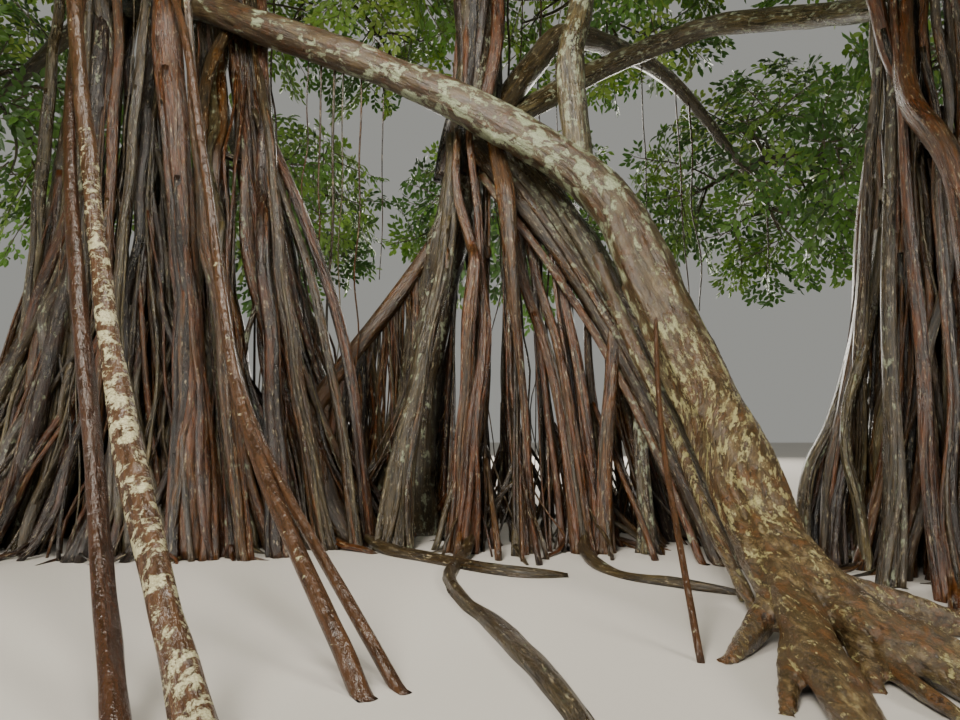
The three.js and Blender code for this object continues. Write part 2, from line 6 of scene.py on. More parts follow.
import bpy
import numpy as np
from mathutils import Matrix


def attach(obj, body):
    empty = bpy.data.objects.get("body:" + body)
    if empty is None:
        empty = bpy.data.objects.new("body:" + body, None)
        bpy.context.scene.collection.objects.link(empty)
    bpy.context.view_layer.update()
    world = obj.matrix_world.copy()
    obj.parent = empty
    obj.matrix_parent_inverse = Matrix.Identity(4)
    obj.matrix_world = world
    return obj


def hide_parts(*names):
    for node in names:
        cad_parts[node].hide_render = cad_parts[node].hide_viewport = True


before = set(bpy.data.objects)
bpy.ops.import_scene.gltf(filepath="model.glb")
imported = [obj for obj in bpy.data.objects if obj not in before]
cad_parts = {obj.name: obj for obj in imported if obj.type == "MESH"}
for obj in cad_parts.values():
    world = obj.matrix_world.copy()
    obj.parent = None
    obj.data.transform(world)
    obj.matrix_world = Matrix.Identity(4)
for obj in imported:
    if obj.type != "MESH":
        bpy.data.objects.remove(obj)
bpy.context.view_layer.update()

# The camera, at the photograph's place and angle
CAMERA_AT = (0.66, -6.6, 0.9)
CAMERA_TILT = math.radians(5.95)
FOCAL_PIXELS = 700.0
PICTURE = (960, 720)
SENSOR = 36.0

# Named sizes of the solids, in metres
BELOW = 0.2
LEAF_GAP = 0.025
CELL_GAP = 0.03
CLEAR_SAMPLES = 6
CORE_WAIST = 0.45
MAIN_STEM = [
    [-0.06, -0.01, -0.2], [-0.03, 0, 0], [0.03, 0.04, 1.02], [0.22, 0.12, 2.18], [0.44, 0.21, 3.32],
    [0.65, 0.29, 4.75], [0.64, 0.3, 6.5],
]
SLANT_STEM = [
    [0.6, 0.2, 4.15], [0.9, -0.06, 3.64], [1.4, -0.33, 2.88], [1.85, -0.62, 2.0], [2.25, -1.25, 0.8],
    [2.47, -1.7, 0], [2.6, -1.9, -0.2],
]
SLANT_RADII = (0.205, 0.123)
MAIN_TENT = {"top": [0.72, 0.2, 4.3], "top_radius": 0.17, "foot": [0.98, -0.06, 0], "core": [0.86, 0.52]}
LEFT_TENT = {"top": [-2.68, 0.42, 6.4], "top_radius": 0.62, "foot": [-2.18, 0.06, 0], "core": [1.35, 1.0]}
RIGHT_TENT = {"top": [4.05, -1.5, 6.2], "top_radius": 0.2, "foot": [4.2, -1.75, 0], "core": [0.52, 0.46]}
LEFT_HEAD = [[-2.66, 0.42, 5.6], [-2.69, 0.43, 6.6], [-2.72, 0.44, 7.5]]
LEFT_HEAD_TIP = 0.26
OBLIQUE_ROOT = [
    [0.3, 0.15, 2.9], [-0.08, 0, 2.26], [-0.7, -0.2, 1.34], [-1.45, -0.45, 0.06], [-1.75, -0.55, -0.2],
]
GREAT_LIMB = [
    [-3.15, 0.33, 5.72], [-1.7, -0.06, 4.96], [-0.79, -0.23, 4.56], [0.1, -0.42, 4.11], [0.84, -0.6, 3.64],
    [1.38, -0.83, 3.2], [1.73, -1.1, 2.73], [1.9, -1.4, 2.17], [2.06, -1.85, 1.46], [2.14, -2.4, 0.86],
    [2.155, -2.9, 0.44], [2.12, -3.35, 0.16], [2.1, -3.7, -0.12],
]
GREAT_LIMB_WIDTHS = [0.135, 0.15, 0.158, 0.185, 0.205, 0.185, 0.19]
FLARE_ROOTS = [
    ([[2.13, -3.0, 0.4], [2.16, -3.35, 0.24], [2.19, -3.75, 0.13], [2.3, -4.05, 0.085],
      [2.42, -4.5, -0.06]], 0.125, 0.075),
    ([[2.1, -3.0, 0.4], [2.05, -3.4, 0.23], [1.94, -3.75, 0.12], [1.83, -4.25, 0.06],
      [1.74, -4.78, -0.06]], 0.11, 0.075),
    ([[2.2, -3.3, 0.2], [2.17, -3.6, 0.12], [2.1, -3.85, 0.06], [2.03, -4.12, -0.04]], 0.055, 0.03),
    ([[2.07, -3.1, 0.3], [1.98, -3.35, 0.16], [1.85, -3.5, 0.08], [1.62, -3.74, -0.05]], 0.085, 0.045),
    ([[2.2, -3.0, 0.36], [2.3, -3.15, 0.2], [2.65, -3.3, 0.09], [3.22, -3.54, -0.06]], 0.1, 0.045),
    ([[2.16, -2.8, 0.4], [2.28, -2.85, 0.22], [2.5, -2.7, 0.08], [2.88, -2.47, -0.06]], 0.09, 0.04),
    ([[2.18, -3.7, 0.08], [2.15, -4.05, 0.04], [2.17, -4.36, 0.0], [2.2, -4.5, -0.04]], 0.04, 0.028),
    ([[2.03, -3.45, 0.2], [1.88, -3.75, 0.09], [1.72, -4.1, 0.03], [1.62, -4.3, -0.04]], 0.05, 0.03),
]
LIMB_BRANCH = [
    [1.5, -0.86, 3.08], [1.5, -0.82, 3.34], [1.46, -0.72, 4.19], [1.6, -0.64, 4.9], [1.56, -0.9, 5.9],
]
BRANCH_RADII = (0.125, 0.095)
BRIDGE = [
    [0.9, 0.33, 4.08], [2.03, 1.0, 5.02], [3.19, 1.0, 5.5], [3.73, 0.4, 5.25], [4.02, -0.6, 4.7],
    [4.08, -1.4, 4.3],
]
BRIDGE_RADIUS = 0.118
PROPS = {
    "prop_root_1": (0.42, 0.046, 0.062, [
        [-2.11, -2.1, 3.84], [-1.64, -2.6, 2.39], [-0.99, -3.4, 1.05], [-0.3, -4.3, 0.2], [0, -4.7, -0.06]]),
    "prop_root_2": (0.3, 0.026, 0.046, [[-1.97, -2.3, 3.03], [-0.97, -3.6, 0.7], [-0.31, -4.6, -0.06]]),
    "prop_root_3": (0.18, 0.028, 0.038, [
        [-1.91, -1.0, 4.5], [-1.37, -1.6, 2.83], [-0.71, -2.6, 1.09], [0.3, -4.15, -0.06]]),
}
PROPS_HANG_FROM = "outer_7"
SPLIT_PROP = "prop_root_3"
HANGING_ROOT = [[1.96, -1.5, 2.13], [1.74, -2.4, 0.98], [1.52, -3.8, -0.06]]
LEANING_STEMS = [
    [[4.0, -1.5, 5.0], [3.59, -2.0, 3.32], [3.56, -2.5, 2.36], [3.48, -2.8, -0.06]],
    [[4.15, -1.4, 4.6], [3.9, -0.9, 2.6], [3.85, -0.7, -0.06]],
]
SURFACE_ROOTS = [
    [[-0.75, -0.1, 0.1], [-0.5, -0.45, 0.1], [-0.27, -0.82, 0.06], [0.07, -1.33, 0.022],
     [0.38, -1.64, 0.016], [0.66, -1.89, 0.01], [0.91, -2.05, 0.004], [1.16, -2.08, -0.015],
     [1.36, -2.04, -0.06]],
    [[0.6, -0.7, 0.7], [0.59, -1.08, 0.2], [0.56, -1.45, 0.03], [0.49, -2.1, 0.004], [0.57, -2.75, 0.004],
     [0.68, -3.15, 0.012], [0.77, -3.5, 0.016], [0.88, -3.88, 0.012], [0.98, -4.25, 0.004],
     [1.04, -4.6, -0.012], [1.07, -4.8, -0.05]],
    [[1.5, -0.6, 0.8], [1.47, -1.0, 0.22], [1.44, -1.4, 0.05], [1.53, -2.0, 0.004], [1.78, -2.36, 0.015],
     [2.02, -2.54, 0.0], [2.2, -2.6, -0.04]],
]

# The crown's rule, as the solids follow it
HEADS = [
    ([0.65, 0.29, 4.75], [0.64, 0.3, 6.5]),
    ([-2.66, 0.42, 5.0], [-2.72, 0.44, 7.3]),
    ([4.08, -1.55, 4.8], [4.05, -1.5, 6.2]),
    ([1.6, -0.64, 4.9], [1.56, -0.9, 5.9]),
]
CROWN_CENTRE = (0.35, 0.45)
TIERS = [
    {"name": "top", "count": 3, "reach": (1.95, 1.8), "height": 9.75, "turn": 0.5, "droop": 0,
     "wide": 2.6, "tall": 1.75, "leaves": 1, "base": 0.19},
    {"name": "middle", "count": 7, "reach": (4.8, 4.2), "height": 8.15, "turn": 0.2, "droop": 0.1,
     "wide": 2.55, "tall": 1.75, "leaves": 0.7, "base": 0.165},
    {"name": "outer", "count": 9, "reach": (6.9, 6.1), "height": 5.7, "turn": 0.06, "droop": 0.9,
     "wide": 2.5, "tall": 1.9, "leaves": 0.2, "base": 0.15},
]
BOUGH_WAYS = {"outer_2": [[0.8, 0.33, 4.1], [1.2, 0.6, 4.8], [1.74, 0.9, 5.38]]}
BOUGH_TIP = 0.06
BOUGH_RISE = 0.1
ENTRY = 0.6
GAP = 0.0004
STEM_CROOK = 0.3
STEM_TOP = 0.3
STEM_RADIUS = 0.055
TWIGS = 6
FIRST_TWIG = 0.3
FORKS = (0.95, 0.35)
BARE_TWIG = 0.3
TWIG_RADIUS = 0.042
TWIG_TIP = 0.036
TWIG_REACH = 0.6
LOWEST_TWIG = -0.75
GOLDEN_ANGLE = math.pi * (3 - math.sqrt(5))
SPRAYS = 3
SPRAY_LIFT = 0.35
SPRAY_LENGTH = 1.55
SPRAY_WIDTH = 1.0
SPRAY_LENGTHS = (0.8, 1.2)
SPRAY_FITS = (1, 0.8, 0.6)
SPRAY_WIDEST = 0.5
LAST_SPRAY = 0.96
SPRAY_STEP = 0.13
CROWN_SEED = 31
# Finer growth that only the looks have
FINE_TWIGS = 24
FINE_REACH = (0.62, 0.86)
FINE_LENGTH = 0.95
FINE_WIDTH = 0.62
FINE_SPRAYS = 4
FINE_RADII = (0.022, 0.009)
FINE_GAP = 0.03
SPRAY_RADII = (0.013, 0.004)
SIDE_RADII = (0.0045, 0.002)
SIDE_STEP = 0.105
SIDE_LEAN = (0.62, 0.78)
LEAF_DROOP = 0.28
LEAF_LIFT = 0.25
LEAF_STEP = 0.062
LEAF_LENGTH = 0.15
LEAF_WIDTH = 0.42
LEAF_HALF = 0.36
LEAF_SHAPE = np.array([
    [0, 0, 0], [0.27, LEAF_HALF, 0.07], [0.66, LEAF_HALF, 0.04], [1, 0, -0.1],
    [0.27, -LEAF_HALF, 0.07], [0.66, -LEAF_HALF, 0.04], [0.5, 0, -0.015],
])
LEAF_FACES = np.array([[0, 6, 1], [1, 6, 2], [2, 6, 3], [0, 4, 6], [4, 5, 6], [5, 3, 6]])
LEAF_GREENS = (
    (0.044, 0.105, 0.022), (0.072, 0.17, 0.03), (0.12, 0.255, 0.038), (0.195, 0.335, 0.05),
    (0.29, 0.42, 0.07),
)
TWIG_FACES = np.array([
    [0, 1, 4], [0, 4, 3], [1, 2, 5], [1, 5, 4], [2, 0, 3], [2, 3, 5], [0, 2, 1], [3, 4, 5],
])
TWIGS_IN_PIECE = 24000

# Roots of the clusters. Each row: height, middle x, middle y, half width, half depth
LEFT_ROWS = [
    (0, -2.18, 0.06, 2.05, 1.6), (0.5, -2.22, 0.09, 1.78, 1.36), (1.2, -2.27, 0.13, 1.52, 1.17),
    (2.2, -2.35, 0.18, 1.27, 1.0), (3.3, -2.44, 0.25, 1.08, 0.88), (4.4, -2.52, 0.31, 0.96, 0.8),
    (5.5, -2.61, 0.37, 0.86, 0.72), (6.3, -2.67, 0.41, 0.72, 0.6), (6.9, -2.7, 0.43, 0.5, 0.45),
    (7.5, -2.72, 0.44, 0.2, 0.2),
]
RIGHT_ROWS = [
    (0, 4.2, -1.75, 1.0, 0.85), (0.6, 4.18, -1.72, 0.82, 0.7), (1.6, 4.16, -1.68, 0.66, 0.56),
    (3, 4.12, -1.62, 0.5, 0.44), (4.5, 4.08, -1.57, 0.38, 0.34), (5.6, 4.06, -1.52, 0.26, 0.24),
    (6.2, 4.05, -1.5, 0.16, 0.16),
]
LEFT_PLAN = {
    "top": 7.25, "mains": 34, "main_radius": (0.035, 0.085), "inner": 40, "inner_radius": (0.05, 0.12),
    "forks": 470, "thin": 400,
}
RIGHT_PLAN = {
    "top": 6.2, "mains": 20, "main_radius": (0.03, 0.06), "inner": 16, "inner_radius": (0.04, 0.09),
    "forks": 190, "thin": 150,
}
MAIN_SPREAD = 1.8
MIDDLE_FOOT = (0.98, -0.06)
MIDDLE_REACH = (1.62, 1.22)
MIDDLE_MAINS = 26
MIDDLE_STRANDS = 290
MIDDLE_THIN = 150
LOW_FORKS = 380
OBLIQUE_STRANDS = 140
CLINGING_ROOTS = 34
HEAD_ROOTS = 13
FINE_ROOTS = 46
SEEDS = {
    "left": (11, 13, 12), "right": (21, 23, 22), "middle": (31, 33, 32), "great_limb": 41, "boughs": 51,
    "props": 52, "hanging": 61, "crown": 71, "crown_limbs": 72,
}

# A turn picked at random is up to this, about a whole one
ANY_TURN = 6.3

# Steps along thick and thin roots, how high a foot flares and from which radius its roots spread
THICK_STEP = 0.08
THIN_STEP = 0.12
FLARE_HEIGHT = 0.14
SPREADS_FROM = 0.024

# Sides of a root: each least radius and the number from there up
ROOT_SIDES = ((0.08, 16), (0.045, 10), (0.022, 7), (0, 5))
MIDDLE_SIDES = ((0.06, 14), (0.03, 9), (0, 6))

# How far lobes and lumps stand out, as shares of the radius
FORKED = (0.12, 0.1)
FUSED = (0.14, 0.14)
KNOTTY = (0.12, 0.12)
SMOOTH = (0.05, 0.05)

# Fused roots of the main stem: angle, reach, size and tone
STEM_ROOTS = (
    (3.7, 0.62, 0.46, 0.78), (4.5, 0.72, 0.4, 0.7), (5.5, 0.72, 0.36, 0.62), (0.4, 0.7, 0.42, 0.5),
    (2.0, 0.7, 0.5, 0.72), (3.0, 0.8, 0.3, 0.6),
)

# Reach of the roots that cling to the main stem, by height
CLINGING_REACH = ((0, 0.62), (0.4, 0.46), (1.5, 0.33), (4, 0.25))

# Ridges on the slanting stem: shift, radius and tone
SLANT_RIDGES = (
    ((-0.02, -0.16, -0.06), 0.065, 0.84), ((0.02, -0.14, 0.08), 0.05, 0.7),
    ((-0.08, -0.13, -0.14), 0.04, 0.55), ((-0.2, -0.1, -0.3), 0.035, 0.4),
)

# Radii of a surface root by share of its length
SURFACE_RADII = ((0, 0.055), (0.3, 0.042), (0.85, 0.045), (1, 0.03))

# Roots fused along the great limb: first and last share, angle, drift and size
LIMB_ROOTS = [
    (0.52, 0.99, 2.6, 0.5, 0.062), (0.45, 0.97, 3.9, -0.6, 0.05), (0.5, 1.0, 5.2, 0.5, 0.055),
    (0.4, 0.93, 1.2, 0.4, 0.045), (0.58, 1.0, 0.2, -0.5, 0.05),
]

# Its knots: share, angle and size. Its lichen and wetness: share and amount
LIMB_KNOTS = ((0.33, 1.0, 0.09), (0.47, 4.2, 0.07), (0.62, 0.6, 0.08))
LIMB_KNOT_SHAPE = np.array([0.2, 0.7, 1, 1.05, 1, 0.7, 0.2])
LIMB_LICHEN = (
    (0, 0.45), (0.25, 0.7), (0.38, 0.9), (0.52, 1.05), (0.66, 0.85), (0.8, 0.9), (0.9, 0.8), (1, 0.6),
)
LIMB_WET = ((0, 0), (0.55, 0.05), (0.72, 0.4), (0.9, 0.9), (1, 1))
LIMB_VOXEL = 0.016
LIMB_SMOOTHING = 0.6

# Where the limb's body thins between its flare roots, by y. Its relief: depth, scales and start of each noise
LIMB_THINS = ((-3.3, 0.62), (-2.9, 0.85), (-2.4, 1))
LIMB_RELIEF = ((0.008, (9, 9, 3.2), 3), (0.004, (30, 30, 8), 0), (0.0025, (55, 55, 28), 9))

# Tone and most lichen of the prop roots, its share by height, and the second strand of the split one
PROP_LOOKS = {"prop_root_1": (0.5, 1.05), "prop_root_2": (0.1, 0.2), "prop_root_3": (0.35, 0.45)}
PROP_LICHEN = ((2.2, 1), (3.1, 0.25))
SPLIT_BELOW = 1.25
SPLIT_START = (0.012, 0.01, 0)
SPLIT_WAY = (0.11, 0.05, 0)
SPLIT_RADIUS = 0.026

# Radii of the thin root in front of the limb, by share of its length
HANGING_RADII = ((0, 0.034), (0.12, 0.017), (1, 0.016))

# Openings between the roots: left, right, upper and lower edge of each in the picture, in pixels
OPENINGS = [
    (91, 99, -60, 120), (113, 122, 60, 150), (126, 133, 140, 260), (184, 191, 20, 90), (202, 210, 40, 100),
    (214, 222, 95, 185), (240, 251, 205, 315), (457, 465, 290, 375), (491, 501, 225, 330),
    (522, 533, 335, 430), (547, 556, 310, 365), (576, 583, 318, 352), (596, 604, 345, 390),
]

# Roots that show clearly: pixels from head to foot, distance of the head, radii, tone and lichen
LEFT_FEATURES = [
    ([(165, -30), (168, 60), (175, 130), (186, 260), (193, 400), (197, 556)], 5.9,
     (0.12, 0.13, 0.11, 0.1, 0.15, 0.2), 0.38, 0.15),
    ([(250, 10), (230, 32), (213, 62), (203, 100), (199, 160), (196, 240), (190, 380), (176, 556)], 6.95,
     (0.06, 0.065, 0.055, 0.05, 0.05, 0.05, 0.06), 0.6, 0.2),
    ([(252, 90), (284, 172), (316, 250), (338, 315), (354, 400), (372, 546)], 6.75,
     (0.03, 0.05, 0.055, 0.05, 0.05, 0.06), 0.28, 0.2),
    ([(254, 110), (282, 190), (306, 262), (324, 335), (342, 430), (358, 548)], 6.6,
     (0.03, 0.04, 0.045, 0.045, 0.05, 0.06), 0.7, 0.5),
    ([(186, -20), (196, 121), (204, 182), (208, 240), (221, 300), (229, 400), (246, 559)], 5.6,
     (0.035, 0.04, 0.06, 0.085, 0.07, 0.06, 0.07), 0.5, 0.55),
    ([(262, -20), (265, 162), (263, 243), (272, 378), (281, 556)], 6.85, (0.06, 0.07, 0.065, 0.07, 0.08),
     0.24, 0.1),
    ([(250, 8), (257, 60), (268, 130), (280, 243), (297, 378), (328, 549)], 6.95,
     (0.05, 0.05, 0.06, 0.075, 0.07, 0.075), 0.62, 0.4),
    ([(60, -20), (47, 121), (37, 223), (22, 378), (-12, 545)], 6.6, (0.05, 0.055, 0.06, 0.06, 0.07), 0.86,
     0.6),
    ([(120, -20), (113, 130), (108, 260), (100, 400), (86, 553)], 6.2, (0.045, 0.05, 0.05, 0.05, 0.06), 0.4,
     0.2),
    ([(148, -20), (133, 150), (122, 243), (118, 380), (118, 556)], 6.1, (0.04, 0.05, 0.05, 0.06, 0.08),
     0.66, 0.35),
    ([(90, -20), (78, 200), (60, 400), (36, 549)], 6.2, (0.04, 0.045, 0.05, 0.06), 0.76, 0.5),
]
MIDDLE_FEATURES = [
    ([(452, 135), (450, 216), (443, 273), (426, 350), (406, 440), (392, 549)], 6.55,
     (0.07, 0.085, 0.085, 0.085, 0.1, 0.14), 0.78, 0.6),
    ([(456, 130), (457, 187), (470, 244), (474, 262), (468, 330), (462, 430), (456, 552)], 6.35,
     (0.04, 0.05, 0.055, 0.065, 0.04, 0.045, 0.07), 0.5, 0.2),
    ([(470, 130), (479, 239), (485, 311), (481, 369), (475, 430), (466, 553)], 6.3,
     (0.04, 0.045, 0.05, 0.065, 0.065, 0.08), 0.36, 0.05),
    ([(492, 128), (500, 165), (507, 200), (512, 260), (522, 400), (532, 552)], 6.25,
     (0.07, 0.085, 0.06, 0.03, 0.03, 0.05), 0.5, 0.3),
    ([(512, 190), (523, 273), (540, 330), (556, 388), (566, 450), (577, 552)], 6.2,
     (0.05, 0.055, 0.05, 0.05, 0.05, 0.07), 0.4, 0.15),
    ([(518, 200), (538, 283), (556, 340), (569, 400), (587, 551)], 6.15, (0.04, 0.045, 0.045, 0.045, 0.06),
     0.52, 0.2),
    ([(552, 240), (567, 302), (579, 369), (588, 440), (602, 551)], 6.1, (0.04, 0.045, 0.055, 0.06, 0.07),
     0.34, 0.05),
    ([(614, 280), (616, 321), (612, 380), (606, 450), (604, 553)], 5.9, (0.06, 0.06, 0.06, 0.055, 0.07),
     0.48, 0.2),
    ([(634, 340), (640, 400), (643, 470), (646, 552)], 5.7, (0.05, 0.06, 0.06, 0.075), 0.86, 0.9),
]
RIGHT_FEATURES = [
    ([(868, -20), (892, 60), (925, 120), (975, 200)], 4.9, (0.05, 0.055, 0.05, 0.05), 0.3, 0.2),
    ([(868, 180), (864, 290), (850, 360), (828, 425), (807, 470), (802, 520), (807, 560)], 5.3,
     (0.05, 0.05, 0.06, 0.06, 0.05, 0.05, 0.06), 0.84, 0.7),
    ([(872, 220), (858, 330), (846, 400), (830, 470), (824, 563)], 5.25, (0.05, 0.06, 0.055, 0.05, 0.06),
     0.52, 0.3),
    ([(880, 230), (864, 345), (850, 400), (848, 450), (858, 500), (868, 570)], 5.1,
     (0.05, 0.06, 0.05, 0.045, 0.045, 0.05), 0.86, 0.7),
    ([(866, 230), (852, 345), (838, 412), (820, 470), (813, 520), (816, 558)], 5.5,
     (0.04, 0.045, 0.05, 0.05, 0.05, 0.06), 0.16, 0.1),
    ([(878, 200), (866, 330), (852, 420), (838, 490), (836, 566)], 5.4, (0.05, 0.05, 0.06, 0.06, 0.07),
     0.12, 0.1),
    ([(884, 200), (874, 330), (866, 420), (852, 490), (846, 560)], 5.55, (0.05, 0.05, 0.07, 0.07, 0.08),
     0.08, 0.05),
    ([(880, -40), (868, 200), (858, 440), (848, 560)], 4.9, (0.035, 0.04, 0.045, 0.055), 0.7, 0.5),
    ([(900, -40), (888, 200), (892, 380), (893, 490), (886, 585)], 4.8, (0.04, 0.045, 0.05, 0.055, 0.075),
     0.72, 0.6),
    ([(890, -40), (900, 100), (915, 300), (930, 480), (940, 600)], 4.8, (0.03, 0.03, 0.035, 0.04, 0.05),
     0.32, 0.05),
    ([(920, -40), (935, 150), (948, 350), (955, 560), (958, 610)], 4.8, (0.03, 0.03, 0.035, 0.04, 0.05),
     0.38, 0.05),
]

# Strands that are fused along the great limb: column, row and distance of each place, then the radii
LIMB_STRANDS = [
    ([(716, 470, 3.95), (735, 520, 3.65), (752, 560, 3.4), (772, 600, 3.2), (786, 632, 3.05)], 0.032, 0.03),
    ([(628, 285, 5.2), (655, 350, 4.85), (688, 420, 4.42), (716, 490, 3.97), (742, 550, 3.58),
     (770, 608, 3.2)], 0.055, 0.035),
    ([(612, 300, 5.4), (642, 365, 5.0), (672, 430, 4.6), (700, 495, 4.2), (728, 560, 3.8), (756, 612, 3.5),
     (764, 632, 3.36)], 0.05, 0.035),
    ([(596, 255, 5.6), (626, 325, 5.25), (655, 390, 4.95), (688, 465, 4.5), (712, 530, 4.15),
     (735, 575, 4.0), (745, 602, 3.85)], 0.05, 0.035),
    ([(640, 300, 5.05), (668, 345, 4.8), (694, 390, 4.5), (712, 450, 4.15), (722, 500, 3.85)], 0.06, 0.04),
    ([(676, 284, 5.1), (703, 335, 4.98), (731, 395, 4.72), (762, 470, 4.3), (790, 535, 3.95),
     (812, 600, 3.6)], 0.045, 0.05),
]

# Swellings where roots meet or a twig has broken off: pixel, distance, size and tone
KNOTS = [
    ((476, 258), 6.28, 0.075, 0.42), ((486, 252), 6.3, 0.05, 0.5), ((207, 243), 5.55, 0.06, 0.4),
    ((600, 322), 6.0, 0.05, 0.6), ((196, 402), 5.62, 0.11, 0.36),
]
KNOT_SHAPE = np.array([0.25, 0.65, 0.9, 1, 1.06, 1, 0.9, 0.65, 0.25])
BROKEN_BOUGH = [(208, 150, 6.5), (232, 158, 6.5), (262, 171, 6.75)]

# Thin roots below the great limb: column, lowest height and radius
LIMB_HANGERS = (
    (306, 1.6, 0.007), (322, 0, 0.01), (336, 0, 0.014), (343, 1.2, 0.007), (361, 0, 0.009), (384, 2.3, 0.006),
)
FEET_BELOW_ROW = 480
CARRIED_FROM_COLUMN = 500

# Colours of the root bark by tone, of lichen, and the studio
ROOT_COLOURS = [
    (0.0, (0.006, 0.0028, 0.0011)), (0.2, (0.023, 0.0085, 0.002)), (0.34, (0.1, 0.029, 0.0035)),
    (0.48, (0.092, 0.038, 0.006)), (0.62, (0.038, 0.021, 0.006)), (0.8, (0.056, 0.039, 0.014)),
    (1.0, (0.13, 0.102, 0.045)),
]
LICHEN = (0.36, 0.41, 0.27)
TWIG_COLOUR = (0.13, 0.1, 0.065)
FLOOR_COLOUR = (0.55, 0.52, 0.48)
FLOOR_HALF = 60
FLOOR_CORNERS = ((-1, -1, 0.001), (1, -1, 0.001), (1, 1, -0.002), (-1, 1, 0.001))
WORLD_COLOUR = (0.92, 0.92, 0.86, 1)
WORLD_STRENGTH = 0.33
LIGHT_COLOUR = (1.0, 0.95, 0.86)

# Name, place, target, size, power and spread in degrees of each light
LIGHTS = (
    ("front", (-5, -16, 11), (0.5, -1, 2.5), 8, 2800, 180),
    ("right", (16, -11, 10), (2, -1.5, 2.5), 6, 2000, 180),
    ("left", (-15, -9, 2.6), (-1.5, -0.5, 4), 4, 1100, 180),
    ("back", (3, 19, 8), (0.5, 0, 1.5), 12, 4200, 180),
    ("above", (-1.0, -4.3, 6.2), (-0.5, -0.8, 2.4), 3, 330, 130),
)


# Numbers

def seeded(seed):
    """The same simple sequence of numbers from 0 to 1 that the solids use"""
    state = seed & 0xFFFFFFFF

    def draw():
        nonlocal state
        state = (state * 1664525 + 1013904223) & 0xFFFFFFFF
        return state / 4294967296

    return draw


def between(limits, share):
    return limits[0] + (limits[1] - limits[0]) * share


def unit(v):
    v = np.asarray(v, float)
    return v / np.maximum(np.linalg.norm(v, axis=-1, keepdims=True), 1e-9)


def hashed(ix, iy, iz):
    """A number from -1 to 1 that looks random, for each of many whole places"""
    n = (ix * 73856093) ^ (iy * 19349663) ^ (iz * 83492791)
    n = ((n ^ (n >> 13)) * 1274126177) & 0x7FFFFFFF
    return (n & 0xFFFF) / 32767.5 - 1


def noise3(p):
    """Smooth noise from -1 to 1 at each of many places"""
    low = np.floor(p).astype(np.int64)
    f = p - low
    f = f * f * (3 - 2 * f)
    total = 0
    for corner in range(8):
        bits = np.array([corner & 1, (corner >> 1) & 1, (corner >> 2) & 1])
        weight = np.prod(np.where(bits, f, 1 - f), axis=1)
        total = total + weight * hashed(*(low + bits).T)
    return total


class Curve:
    """A smooth line through places, measured along its length as the solids' lines are"""

    def __init__(self, places):
        self.places = np.array(places, float)
        self.ts = np.linspace(0, 1, 201)
        self.table = self.point(self.ts)
        steps = np.linalg.norm(np.diff(self.table, axis=0), axis=1)
        self.lengths = np.concatenate([[0], np.cumsum(steps)])
        self.length = self.lengths[-1]

    def point(self, t):
        p = self.places
        padded = np.vstack([2 * p[0] - p[1], p, 2 * p[-1] - p[-2]])
        place = np.clip(np.atleast_1d(t), 0, 1) * (len(p) - 1)
        i = np.minimum(place.astype(int), len(p) - 2)
        w = (place - i)[:, None]
        a, b, c, d = (padded[i + k] for k in range(4))
        m0 = 0.5 * (c - a)
        m1 = 0.5 * (d - b)
        return (2 * b - 2 * c + m0 + m1) * w ** 3 + (-3 * b + 3 * c - 2 * m0 - m1) * w ** 2 + m0 * w + b

    def share_to_t(self, share):
        return np.interp(np.atleast_1d(share) * self.length, self.lengths, self.ts)

    def at(self, share):
        return self.point(self.share_to_t(share))

    def tangent(self, share):
        t = self.share_to_t(share)
        return unit(self.point(t + 1e-4) - self.point(t - 1e-4))


def along(curve, step):
    """Places along a curve about a step apart"""
    count = max(4, int(curve.length / step) + 1)
    return curve.at(np.linspace(0, 1, count))


def table_at(share, rows):
    """Values at shares of the way, from rows of a share and its value"""
    shares, values = zip(*rows)
    return np.interp(share, shares, values)


def ringed(points, turn, rim):
    """A line moved sideways from each of its places, by a turn and a distance"""
    return points + np.stack([np.cos(turn) * rim, np.sin(turn) * rim, 0 * turn], axis=1)


def sides_of(radius, steps):
    return next(sides for least, sides in steps if radius > least)


# Places in the picture

def sight(u, v):
    """Sideways, ahead and up parts of the line of sight through a pixel"""
    a = (u - PICTURE[0] / 2) / FOCAL_PIXELS
    b = (PICTURE[1] / 2 - v) / FOCAL_PIXELS
    ahead = math.cos(CAMERA_TILT) - b * math.sin(CAMERA_TILT)
    up = math.sin(CAMERA_TILT) + b * math.cos(CAMERA_TILT)
    return a, ahead, up


def spot(u, v, distance):
    """The place that shows at a pixel of the picture, at a distance in front of the camera"""
    side, ahead, up = sight(u, v)
    t = distance / ahead
    return [CAMERA_AT[0] + t * side, CAMERA_AT[1] + distance, CAMERA_AT[2] + t * up]


def ground_distance(v):
    """How far in front of the camera the ground is that shows in a row of the picture"""
    _, ahead, up = sight(0, v)
    return -CAMERA_AT[2] * ahead / up


def seen_at(points):
    """Column and row in the picture of many places, and how far ahead they are"""
    apart = points - np.array(CAMERA_AT)
    ahead = apart[:, 1] * math.cos(CAMERA_TILT) + apart[:, 2] * math.sin(CAMERA_TILT)
    up = apart[:, 2] * math.cos(CAMERA_TILT) - apart[:, 1] * math.sin(CAMERA_TILT)
    column = PICTURE[0] / 2 + FOCAL_PIXELS * apart[:, 0] / ahead
    row = PICTURE[1] / 2 - FOCAL_PIXELS * up / ahead
    return column, row, ahead


def place_on(curve, column):
    """The place on a curve that shows in a column of the picture"""
    points = curve.at(np.linspace(0, 1, 200))
    return points[np.abs(seen_at(points)[0] - column).argmin()]


def fills_opening(points, radius):
    """Whether a root would close one of the openings"""
    column, row, ahead = seen_at(points)
    margin = FOCAL_PIXELS * radius / ahead
    for left, right, upper, lower in OPENINGS:
        across = (column > left - margin) & (column < right + margin)
        if np.any(across & (row > upper) & (row < lower)):
            return True
    return False


# Meshes

